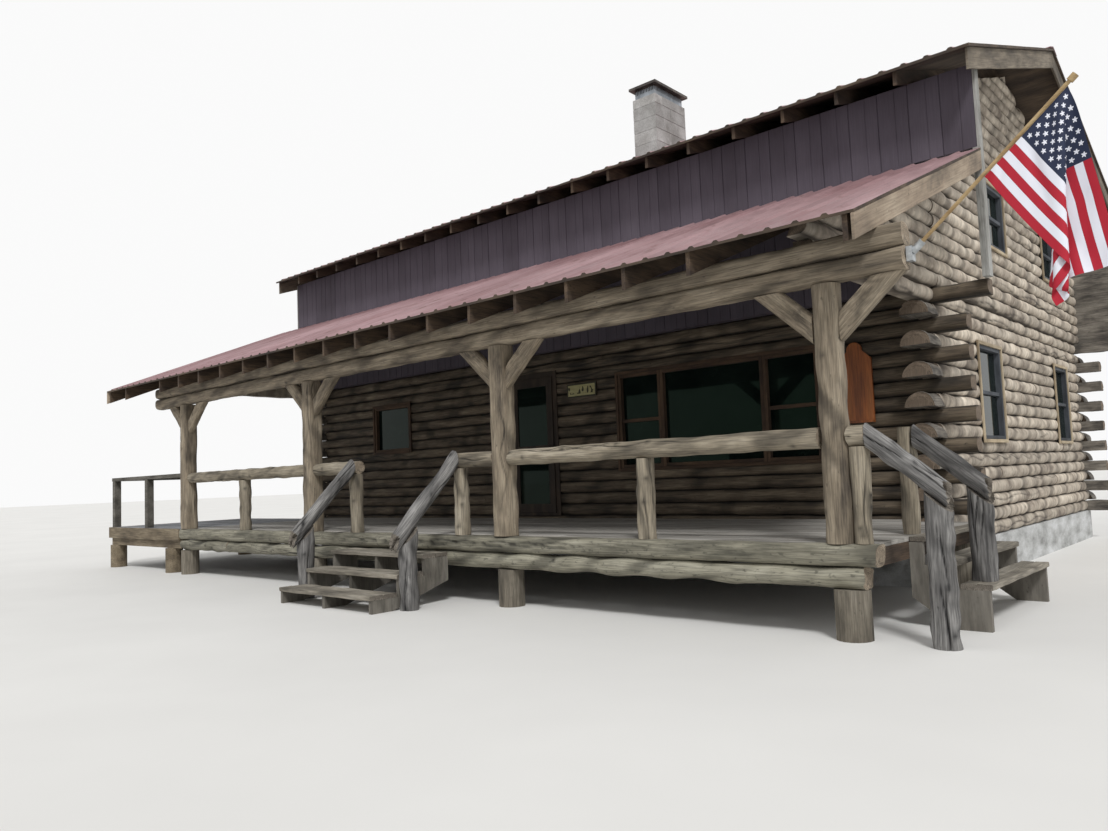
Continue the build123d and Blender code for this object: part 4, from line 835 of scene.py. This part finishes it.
# Rails: peeled round logs let in between the posts and carried by short posts.
# Their free ends are sawn off square, beside the steps and at the right.
rail_logs = wood("rail_logs", (92, 85, 74), (148, 138, 120), (184, 174, 156), patch=(1.4, 6.0), speck_at=0.7)
rail_z = 1.538
rail_radius = 0.082
step_left, step_right = -0.290, 1.450
stub_left, stub_right = step_left - 0.045, step_right + 0.045
rail_end = 6.168
clear = post_width / 2 + seat_gap
rails = [timber((low, post_y, rail_z), X * (high - low), Y, Z, oval(rail_radius, rail_radius, 2.0, 56), step=0.03,
                swell=0.004, lengths=(0.25, 1.6), knots=int(3 * (high - low)) + 1, checks=4, check_depth=0.014,
                ragged=0.008, inner_rings=(0.82, 0.5))
         for low, high in ((post_xs[3] + clear, post_xs[2] - clear), (post_xs[2] + clear, stub_left),
                           (stub_right, post_xs[1] - clear), (post_xs[1] + clear, post_xs[0] - clear),
                           (post_xs[0] + clear, rail_end))]
piece("rail_timbers", rails, (rail_logs, porch_log_ends), "porch_rails")

short_post_top = rail_z - rail_radius - seat_gap
side_post_top = floor_height + 0.9005
side_rail_y = post_y + 1.0
thick, thin = 0.08, 0.068
short_posts = [((post_xs[3] + post_xs[2]) / 2, post_y, short_post_top, thick),
               (stub_left - thick, post_y, short_post_top, thick), (stub_right + thick, post_y, short_post_top, thick),
               ((post_xs[1] + post_xs[0]) / 2, post_y, short_post_top, thick),
               (6.099, post_y, short_post_top, thin), (6.100, side_rail_y, side_post_top, thin)]
stubs = [timber((x, y, floor_height + seat_gap), Z * (top - floor_height - 2 * seat_gap), X, Y,
                oval(radius, radius, 2.3, 48), step=0.03, swell=0.005, lengths=(0.2, 1.2), knots=4, knot_height=0.01,
                checks=4, inner_rings=(0.8, 0.4)) for x, y, top, radius in short_posts]
piece("short_post_timbers", stubs, (rail_logs, porch_log_ends), "rail_posts")

# Steps: grey boards on notched stringers, with log handrails cut upright against the rail's face.
# The handrails and their newels are silver grey, split along the grain, and rotten at the lower ends.
grey_logs = wood("grey_logs", (58, 57, 58), (120, 118, 116), (172, 170, 167), patch=(1.6, 8.0),
                 streak=(4.0, 70.0), streak_depth=0.55, speck_at=0.68, relief=0.8)
grey_ends = end_grain("grey_log_ends", (58, 54, 50), (110, 103, 94), (150, 142, 130))
grey_boards = wood("grey_boards", (96, 90, 80), (144, 137, 124), (180, 173, 160), patch=(1.2, 6.0),
                   streak_depth=0.4)
handrail_radius = 0.078
handrail_xs = (step_left - 0.102, step_right + 0.102)
front_run, side_run = (0, -0.86, -0.85), (0.575, 0, -0.475)
handrails = []
for start, run, side in [((x, post_y - 0.0825, rail_z), front_run, X) for x in handrail_xs] + [
        ((rail_end + seat_gap, y, rail_z), side_run, Y) for y in (post_y, side_rail_y)]:
    fall = abs(run[2]) / max(abs(run[0]), abs(run[1]))
    tall = handrail_radius * np.sqrt(1 + fall ** 2)
    handrails.append(timber(start, run, side, Z, oval(handrail_radius - 0.003, tall - 0.003, 2.2, 64), step=0.02,
                            swell=0.005, lengths=(0.2, 1.0), knots=3, knot_height=0.01, checks=8, check_depth=0.020,
                            check_width=0.006, inner_rings=(0.85, 0.55, 0.25)))
share = np.linspace(0, 1, 12)[:, None]
turn = np.linspace(0, 2 * np.pi, 64, endpoint=False)
rotted = 0.05 * (0.5 + 0.5 * np.sin(3 * turn + 1.0)) ** 2 + 0.02 * np.abs(np.sin(8 * turn))
for rail in handrails:
    way = rail["rings"][10].mean(axis=0) - rail["rings"][30].mean(axis=0)
    rail["rings"][-12:] += (share * rotted)[..., None] * way / np.linalg.norm(way)
piece("handrail_timbers", handrails, (grey_logs, grey_ends), "step_handrails")

newel_radius = 0.093
front_newel_y = post_y - 0.7525
side_newel_x = rail_end + 0.48
front_fall, side_fall = 0.9884, 0.8261
front_top = rail_z - 0.67 * front_fall - 0.1102
side_top = rail_z - 0.48 * side_fall - 0.1017
landing_top = 0.3605
newels = []
for x, y, foot, top, out, fall in ((handrail_xs[0], front_newel_y, 0.0, front_top, -Y, front_fall),
                                   (handrail_xs[1], front_newel_y, 0.0, front_top, -Y, front_fall),
                                   (side_newel_x, post_y, 0.0, side_top, X, side_fall),
                                   (side_newel_x, side_rail_y, landing_top, side_top, X, side_fall)):
    bar = timber((x, y, foot), Z * (top - foot), X, Y, oval(newel_radius, newel_radius, 2.3, 64), step=0.025,
                 swell=0.006, lengths=(0.2, 1.0), knots=3, knot_height=0.01, checks=8, check_depth=0.018,
                 check_width=0.006, inner_rings=(0.8, 0.4))
    share = (bar["rings"][..., 2] - foot) / (top - foot)
    away = (bar["rings"] - np.array((x, y, 0.0))) @ out
    bar["rings"][..., 2] -= share ** 4 * away * fall
    newels.append(bar)
piece("newel_timbers", newels, (grey_logs, grey_ends), "step_newels")

step_rise = 0.18
step_run = 0.35
front_step_y = -6.5555
tread_pitch = 0.1748
tread_thickness = 0.045
side_step_back = -3.9
side_step_width = 1.8
side_treads = ((6.2253, 0.128, 0.72), (6.3503, 0.117, 0.54), (6.4703, 0.117, 0.54), (6.5903, 0.117, 0.36),
               (6.7103, 0.117, 0.36))


def tread(start, run, side, width):
    """A worn board with its edges taken off, its top at the height of its start."""
    start = (*start[:2], start[2] - tread_thickness / 2)
    return timber(start, run, side, Z, plank(width, tread_thickness, 0.006), step=0.12, swell=0.0025,
                  lengths=(0.3, 1.2), ragged=0.008, inner_rings=(0.9,))


treads = [tread((step_left, front_step_y - number * step_run - (row + 0.5) * tread_pitch,
                 floor_height - (number + 1) * step_rise), X * (step_right - step_left), Y, 0.170)
          for number in range(3) for row in range(2)]
treads += [tread((x, side_step_back, top), -Y * side_step_width, X, width) for x, width, top in side_treads]
piece("tread_boards", treads, (grey_boards, grey_ends), "step_treads", crease=30)
dress(wood("stringer_wood", (82, 78, 71), (122, 117, 108), (150, 145, 136), along="Z", patch=(1.0, 2.0),
           streak=(4.0, 28.0), streak_depth=0.3), "step_stringers")

# Side deck: grey boards nailed to a frame of joists and beams, open to the sky.
# A flat rail runs round it on square posts.
blue_boards = wood("side_deck_boards", (92, 92, 94), (132, 134, 138), (164, 166, 170), patch=(0.8, 6.0),
                   streak=(2.5, 110.0), streak_depth=0.35)
side_left, side_right, side_front = -8.004, -5.1805, -6.5295
side_boards = decking(side_left, side_right, side_front, deck_back)
piece("side_deck_boarding", side_boards, (blue_boards, blue_boards), "side_deck", crease=30)
dress(wood("side_frame_wood", (92, 80, 64), (136, 122, 100), (164, 150, 126), along="X"), "side_deck_frame")
dress(wood("side_rail_wood", (70, 66, 60), (104, 100, 92), (132, 128, 120), along="X"), "side_deck_rails")

# Chimney: concrete blocks laid in half bond from the ground up, with struck mortar joints.
# A dark sheet metal collar and lid close its top.
block_finish, tree, surface, place, cloud, shade = clouded(
    "chimney_block", 0.92, (3.0, 3.0, 3.0), 5.0, (0.3, (138, 136, 132)), (0.7, (192, 192, 190)))
grit = noise(tree, place, (70.0, 70.0, 70.0), 2.0)
shade = weighed(tree, shade, marked(tree, "tone"), (0.0, 0.84), (1.0, 1.1))
coat(tree, surface, weighed(tree, shade, grit, (0.35, 0.8), (0.6, 1.05)), grit, 0.6)
stack_left, stack_right, stack_front, stack_back = 1.1, 1.52, -2.18, -1.36
stack_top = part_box("chimney")[1].z
block_height = 0.2
mortar = 0.006
blocks = []
for course in range(int(np.ceil(stack_top / block_height))):
    low = course * block_height
    high = min(stack_top, low + block_height - mortar)
    wide, deep = stack_right - stack_left, stack_back - stack_front
    middle_x, middle_y = (stack_left + stack_right) / 2, (stack_front + stack_back) / 2
    half = deep / 2 - mortar / 2
    rows = ([(stack_front, half), (middle_y + mortar / 2, half)] if course % 2 == 0
            else [(stack_front, half / 2), (stack_front + half / 2 + mortar, half), (stack_back - half / 2, half / 2)])
    for start, size in rows:
        blocks.append(timber((middle_x, start + size, (low + high) / 2), -Y * size, X, Z,
                             plank(wide, high - low), step=0.2, inner_rings=(0.95,)))
blocks.append(timber((middle_x, stack_back - 0.006, stack_top / 2 - 0.004), -Y * (deep - 0.012), X, Z,
                     plank(wide - 0.012, stack_top - 0.008), step=2.0, inner_rings=(), tone=1.0))
piece("chimney_blocks", blocks, (block_finish, block_finish), "chimney", crease=30)

dark_metal, tree, surface, place, cloud, shade = clouded(
    "dark_sheet_metal", 0.5, (6.0, 6.0, 3.0), 5.0, (0.35, (62, 58, 56)), (0.7, (112, 104, 98)), metallic=0.7)
pale = ramp(tree, cloud, (0.35, (128, 134, 140)), (0.7, (176, 182, 188)))
cap_low, cap_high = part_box("chimney_cap")[0].z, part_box("chimney_cap")[1].z
spot = node(tree, "SeparateXYZ", {0: place}).outputs
height = node(tree, "MapRange", {"Value": spot[2], "From Min": cap_low, "From Max": cap_high}).outputs[0]
across = reckon(tree, "FRACT", reckon(tree, "MULTIPLY", reckon(tree, "ADD", spot[0], spot[1]), 34.0))
# Painted shade: dark bands across the middle of the cap stand in for the shadowed insides of its vent slots.
slot_shade_bands = blend(tree, ramp(tree, across, (0.50, 0.0), (0.58, 1.0)), pale, (34, 32, 32))
lower = blend(tree, ramp(tree, height, (0.38, 0.0), (0.40, 1.0)), pale, slot_shade_bands)
coat(tree, surface, blend(tree, ramp(tree, height, (0.70, 0.0), (0.72, 1.0)), lower, shade))
dress(dark_metal, "chimney_cap")

# Windows: casing boards round each opening, a sash frame set back in it, and clear glass, coloured dark with painted
# shade of the rooms behind.
# Those on the porch are dark brown; the others have pale casings and dark sashes.
brown_paint = wood("brown_casing", (50, 38, 30), (78, 60, 46), (104, 82, 62), streak_depth=0.25, speck_at=0.8)
pale_paint = wood("pale_casing", (128, 112, 90), (172, 156, 130), (200, 186, 160), streak_depth=0.25,
                  speck_at=0.8)
sash_paint = wood("dark_sash", (44, 46, 50), (66, 70, 76), (88, 92, 98), streak_depth=0.15, speck_at=0.85)
casing_width = 0.04
casing_proud = 0.022
sash_width = 0.045
frame_depth = 0.12


def window_timbers(corner, along, out, width, height, columns):
    """A window's boards: its four casings, and each light's stiles, rails and meeting rail. The corner is the
    opening's lower left one from outside; columns are the widths of the lights, each one or two sashes high."""
    casings, bars = [], []
    inward = np.cross(Z, along)

    def member(kept, left, right, low, high, front, back, upright=False):
        middle = corner + out * (front + back) / 2
        wide, deep, high_by = right - left, front - back, high - low
        if upright:
            placed = (middle + along * (left + right) / 2 + Z * low, Z * high_by, along, inward,
                      plank(wide, deep, 0.003))
        else:
            placed = (middle + along * left + Z * (low + high) / 2, along * wide, inward, Z,
                      plank(deep, high_by, 0.003))
        kept.append(timber(*placed, step=1.0, inner_rings=()))

    edge = casing_width
    for left in (-edge, width):
        member(casings, left, left + edge, -edge, height + edge, casing_proud, 0.001, True)
    member(casings, 0.0, width, height, height + edge, casing_proud, 0.001)
    member(casings, 0.0, width, -edge, 0.0, casing_proud + 0.006, 0.001)
    left = 0.0
    for light_width, sashes in columns:
        right = left + light_width
        stile_left, stile_right = left + sash_width, right - sash_width
        for low, high in ((left + 0.001, stile_left), (stile_right, right - 0.001)):
            member(bars, low, high, 0.001, height - 0.001, 0.004, -frame_depth, True)
        for low, high in ((0.001, sash_width), (height - sash_width, height - 0.001)):
            member(bars, stile_left, stile_right, low, high, 0.002, -frame_depth)
        if sashes == 2:
            member(bars, stile_left, stile_right, height / 2 - 0.0225, height / 2 + 0.0225, -0.02, -0.10)
        left = right
    return casings, bars


porch_casings, pale_casings, sash_bars = [], [], []
for gaps, face, out, sashes in ((front_gaps, half_depth, -Y, 1), (rear_gaps, half_depth, Y, 1),
                                (end_gaps, half_length, X, 2), (upper_gaps, gable_face, X, 2),
                                (end_gaps, half_length, -X, 2), (upper_gaps, gable_face, -X, 2)):
    along = np.cross(Z, out)
    for left, right, sill, head in gaps:
        width, height = right - left, (head - sill) * course_pitch
        corner = np.abs(along) * (left if along.sum() > 0 else right) + out * face
        corner = corner + Z * (bed_height + sill * course_pitch)
        columns = [(width, sashes)] if width < 2 else [(0.7, 2), (1.5, 1), (0.7, 2)]
        casings, bars = window_timbers(corner, along, out, width, height, columns)
        (porch_casings if gaps is front_gaps else pale_casings).extend(casings)
        (porch_casings if gaps is front_gaps else sash_bars).extend(bars)
for name, boards, finish in (("porch_window_frames", porch_casings, brown_paint),
                             ("pale_window_casings", pale_casings, pale_paint),
                             ("window_sashes", sash_bars, sash_paint)):
    piece(name, boards, (finish, finish), "window_frames", crease=30)


# Painted shade: the pane's dark colour stands in for the unlit rooms behind the glass, which lets little light
# through.
window_pane, tree, surface, *_ = clouded("window_pane", 0.04, (3.0, 3.0, 3.0), 3.0, (0.3, (14, 22, 20)),
                                         (0.7, (30, 40, 36)))
for socket, value in (("IOR", 1.5), ("Specular IOR Level", 0.28), ("Specular Tint", paint((92, 128, 104))),
                      ("Transmission Weight", 0.25)):
    surface.inputs[socket].default_value = value
dress(window_pane, "window_glass", "front_door_glass")

# Door: a wood frame and a leaf with a pane above and below its middle rail, painted dark brown.
# The leaf hangs on the frame, and is the one piece that moves.
dress(wood("door_paint", (38, 32, 28), (62, 52, 44), (84, 70, 58), along="Z", streak_depth=0.2, speck_at=0.85),
      "door_frame", "front_door")

# Wall sign and varnished wall board: flat pieces of wood fixed to the logs beside the windows.
# The sign has a dark border and plain dark marks across its middle.
sign_rim = 0.022
sign_wood, tree, surface, place, cloud, shade = clouded(
    "sign_wood", 0.6, (4.0, 4.0, 18.0), 4.0, (0.35, (150, 142, 96)), (0.68, (184, 178, 130)))
sign_low, sign_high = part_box("wall_sign")
sign_middle = ((sign_low.x + sign_high.x) / 2, 0.0, (sign_low.z + sign_high.z) / 2)
centred = node(tree, "VectorMath", {0: place, 1: sign_middle}, operation="SUBTRACT").outputs[0]
spread = node(tree, "VectorMath", {0: centred}, operation="ABSOLUTE").outputs[0]
apart = node(tree, "SeparateXYZ", {0: spread}).outputs
rim = reckon(tree, "MAXIMUM",
             reckon(tree, "GREATER_THAN", apart[0], (sign_high.x - sign_low.x) / 2 - sign_rim),
             reckon(tree, "GREATER_THAN", apart[2], (sign_high.z - sign_low.z) / 2 - sign_rim))
figures = ramp(tree, noise(tree, place, (16.0, 16.0, 9.0), 1.0), (0.52, 0.0), (0.56, 1.0))
carved = reckon(tree, "MULTIPLY", figures, reckon(tree, "LESS_THAN", apart[2], 0.05))
coat(tree, surface, blend(tree, rim, blend(tree, carved, shade, (58, 56, 36)), (48, 44, 28)))
dress(sign_wood, "wall_sign")
dress(wood("varnished_board", (112, 58, 22), (168, 94, 40), (198, 122, 58), along="Z", patch=(1.0, 8.0),
           streak_depth=0.35, roughness=0.45), "wall_board")

# Pole: a turned pine pole that slopes up and out from the porch's right end.
# It stands in a cast metal bracket screwed to the header's end.
dress(wood("pole_wood", (150, 120, 76), (192, 164, 118), (214, 190, 146), along="X", streak_depth=0.2,
           speck_at=0.85, roughness=0.55), "flag_pole")
bracket_metal, *_ = clouded("bracket_metal", 0.45, (20.0, 20.0, 20.0), 4.0, (0.3, (150, 154, 156)),
                            (0.7, (196, 200, 202)), metallic=0.8)
dress(bracket_metal, "flag_bracket")

# Flag: thin cloth, thirteen strips sewn edge to edge with a starred field, tied to the pole's upper half.
# It hangs in one deep fold under the pole's tip, its far corner behind.
flag_hoist, flag_fly = 0.71, 1.18
pole_foot = np.array((6.5825, post_y, header_low + 0.112))
pole_way = np.array((1.09, 0.0, 0.935)) / np.hypot(1.09, 0.935)
flag_corner = pole_foot + pole_way * 1.40 + np.array((0.0105, 0.0, -0.0122))
fold_room = 0.018


def hung_cloth(rows, columns, steps, rounds):
    """A net of rows along the hoist and columns along the fly. It starts as a fan about the top corner, at
    distance sqrt(apart^2 + along^2) and folded back once, and then falls a little: at each step every knot
    keeps 0.96 of its last move and drops, each pair of knots is drawn to its distance in flat cloth, and
    each layer of the fold stays at its own depth."""
    apart, along = np.meshgrid(np.linspace(0, flag_hoist, rows), np.linspace(0, flag_fly, columns), indexing="ij")
    reach = np.hypot(apart, along)
    turn = np.degrees(np.arctan2(along, apart))
    lean = np.radians(np.interp(turn, (0, 49, 58, 64, 70, 78, 90), (-49.4, -0.5, -6, -6, -8, -2, 8)))
    depth = np.interp(turn, (0, 30, 47, 54, 62, 70, 77, 90), (0.0, -0.015, -0.036, -0.02, 0.0, 0.025, 0.036, 0.03))
    depth *= np.minimum(1, reach / 0.4)
    net = np.stack((reach * np.sin(lean), depth, -reach * np.cos(lean)), axis=-1)
    net[:, 0] = -apart[:, :1] * pole_way
    number = np.arange(rows * columns).reshape(rows, columns)
    loose = np.ones((rows, columns))
    loose[:, 0] = 0
    loose = loose.reshape(-1, 1)
    gap = (flag_hoist / (rows - 1), flag_fly / (columns - 1))
    pairs = []

    def join(first, second, length, hold):
        high, wide = min(first.shape[0], second.shape[0]), min(first.shape[1], second.shape[1])
        first, second = first[:high, :wide].ravel(), second[:high, :wide].ravel()
        both = np.maximum(loose[first] + loose[second], 1)
        pairs.append((first, second, length, hold * loose[first] / both, hold * loose[second] / both))

    for odd in (0, 1):
        join(number[odd::2], number[odd + 1::2], gap[0], 1.0)
        join(number[:, odd::2], number[:, odd + 1::2], gap[1], 1.0)
        for near in (0, 1):
            join(number[odd::2, near::2], number[odd + 1::2, near + 1::2], np.hypot(*gap), 0.15)
            join(number[odd::2, near + 1::2], number[odd + 1::2, near::2], np.hypot(*gap), 0.15)
    for odd in range(6):
        join(number[odd::6], number[odd + 3::6], 3 * gap[0], 0.05)
        join(number[:, odd::6], number[:, odd + 3::6], 3 * gap[1], 0.05)
    knots = net.reshape(-1, 3)
    before = knots.copy()
    for _ in range(steps):
        moved = knots + (knots - before) * 0.96 * loose
        moved[:, 2] -= 0.0001 * loose[:, 0]
        before, knots = knots, moved
        for _ in range(rounds):
            for first, second, length, first_hold, second_hold in pairs:
                way = knots[second] - knots[first]
                way *= 1 - length / np.linalg.norm(way, axis=1, keepdims=True)
                knots[first] += first_hold * way
                knots[second] -= second_hold * way
            knots[:, 1] = np.clip(knots[:, 1], depth.ravel() - fold_room, depth.ravel() + fold_room)
    return knots.reshape(rows, columns, 3) + flag_corner


net = hung_cloth(31, 51, 60, 6)
rows, columns = net.shape[:2]
number = np.arange(rows * columns).reshape(rows, columns)
quads = np.stack((number[:-1, :-1], number[1:, :-1], number[1:, 1:], number[:-1, 1:]), axis=-1).reshape(-1, 4)
flag_mesh = bpy.data.meshes.new("flag_cloth")
flag_mesh.from_pydata(net.reshape(-1, 3).tolist(), [], quads.tolist())
spot = np.stack(np.meshgrid(np.linspace(0, 1, columns), np.linspace(0, 1, rows)), axis=-1).reshape(-1, 2)
flag_mesh.uv_layers.new(name="cloth").data.foreach_set("uv", spot[quads.ravel()].ravel())
flag_mesh.polygons.foreach_set("use_smooth", np.ones(len(quads), bool))
flag_cloth, tree, surface = new_finish("flag_cloth", 0.75)
work = partial(reckon, tree)
flag_red, flag_white, flag_blue = (176, 24, 46), (232, 234, 244), (28, 38, 66)
cloth_place = node(tree, "UVMap", {}, uv_map="cloth").outputs[0]
flat = node(tree, "SeparateXYZ", {0: cloth_place}).outputs
strip = work("MULTIPLY", flat[1], 13.0)
shade = blend(tree, work("GREATER_THAN", work("MODULO", strip, 2.0), 1.0), flag_red, flag_white)
stars, apart = [], []
for part, count, size in ((flat[0], 30.0, flag_fly), (flat[1], 130 / 7, flag_hoist)):
    spread = work("MULTIPLY", part, count)
    stars.append(work("ROUND", spread))
    apart.append(work("MULTIPLY", work("SUBTRACT", spread, stars[-1]), size / count))
star_turn = work("MULTIPLY", work("ARCTAN2", apart[0], work("MULTIPLY", apart[1], -1.0)), 5 / (2 * np.pi))
notch = work("ABSOLUTE", work("SUBTRACT", star_turn, work("ROUND", star_turn)))
star_edge = work("MULTIPLY_ADD", notch, -0.024, 0.0195)
away = work("SQRT", work("ADD", *[work("MULTIPLY", part, part) for part in apart]))
even_place = work("LESS_THAN", work("MODULO", work("ADD", *stars), 2.0), 0.5)
inside = work("MULTIPLY", work("LESS_THAN", away, star_edge), even_place)
for place, last in zip(stars, (11.5, 9.5)):
    for side in (work("GREATER_THAN", place, 0.5), work("LESS_THAN", place, last)):
        inside = work("MULTIPLY", inside, side)
in_field = work("MULTIPLY", work("LESS_THAN", flat[0], 0.4), work("LESS_THAN", flat[1], 7 / 13))
shade = blend(tree, in_field, shade, blend(tree, inside, flag_blue, flag_white))
seam = work("ABSOLUTE", work("SUBTRACT", strip, work("ROUND", strip)))
shade = weighed(tree, shade, seam, (0.0, 0.78), (0.05, 1.0))
coat(tree, surface, shade, noise(tree, cloth_place, (420.0, 260.0, 1.0), 1.0), 0.15, 0.001)
flag_mesh.materials.append(flag_cloth)
flag = bpy.data.objects.new("flag_cloth", flag_mesh)
bpy.context.scene.collection.objects.link(flag)
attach(flag, "house")
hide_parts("flag")
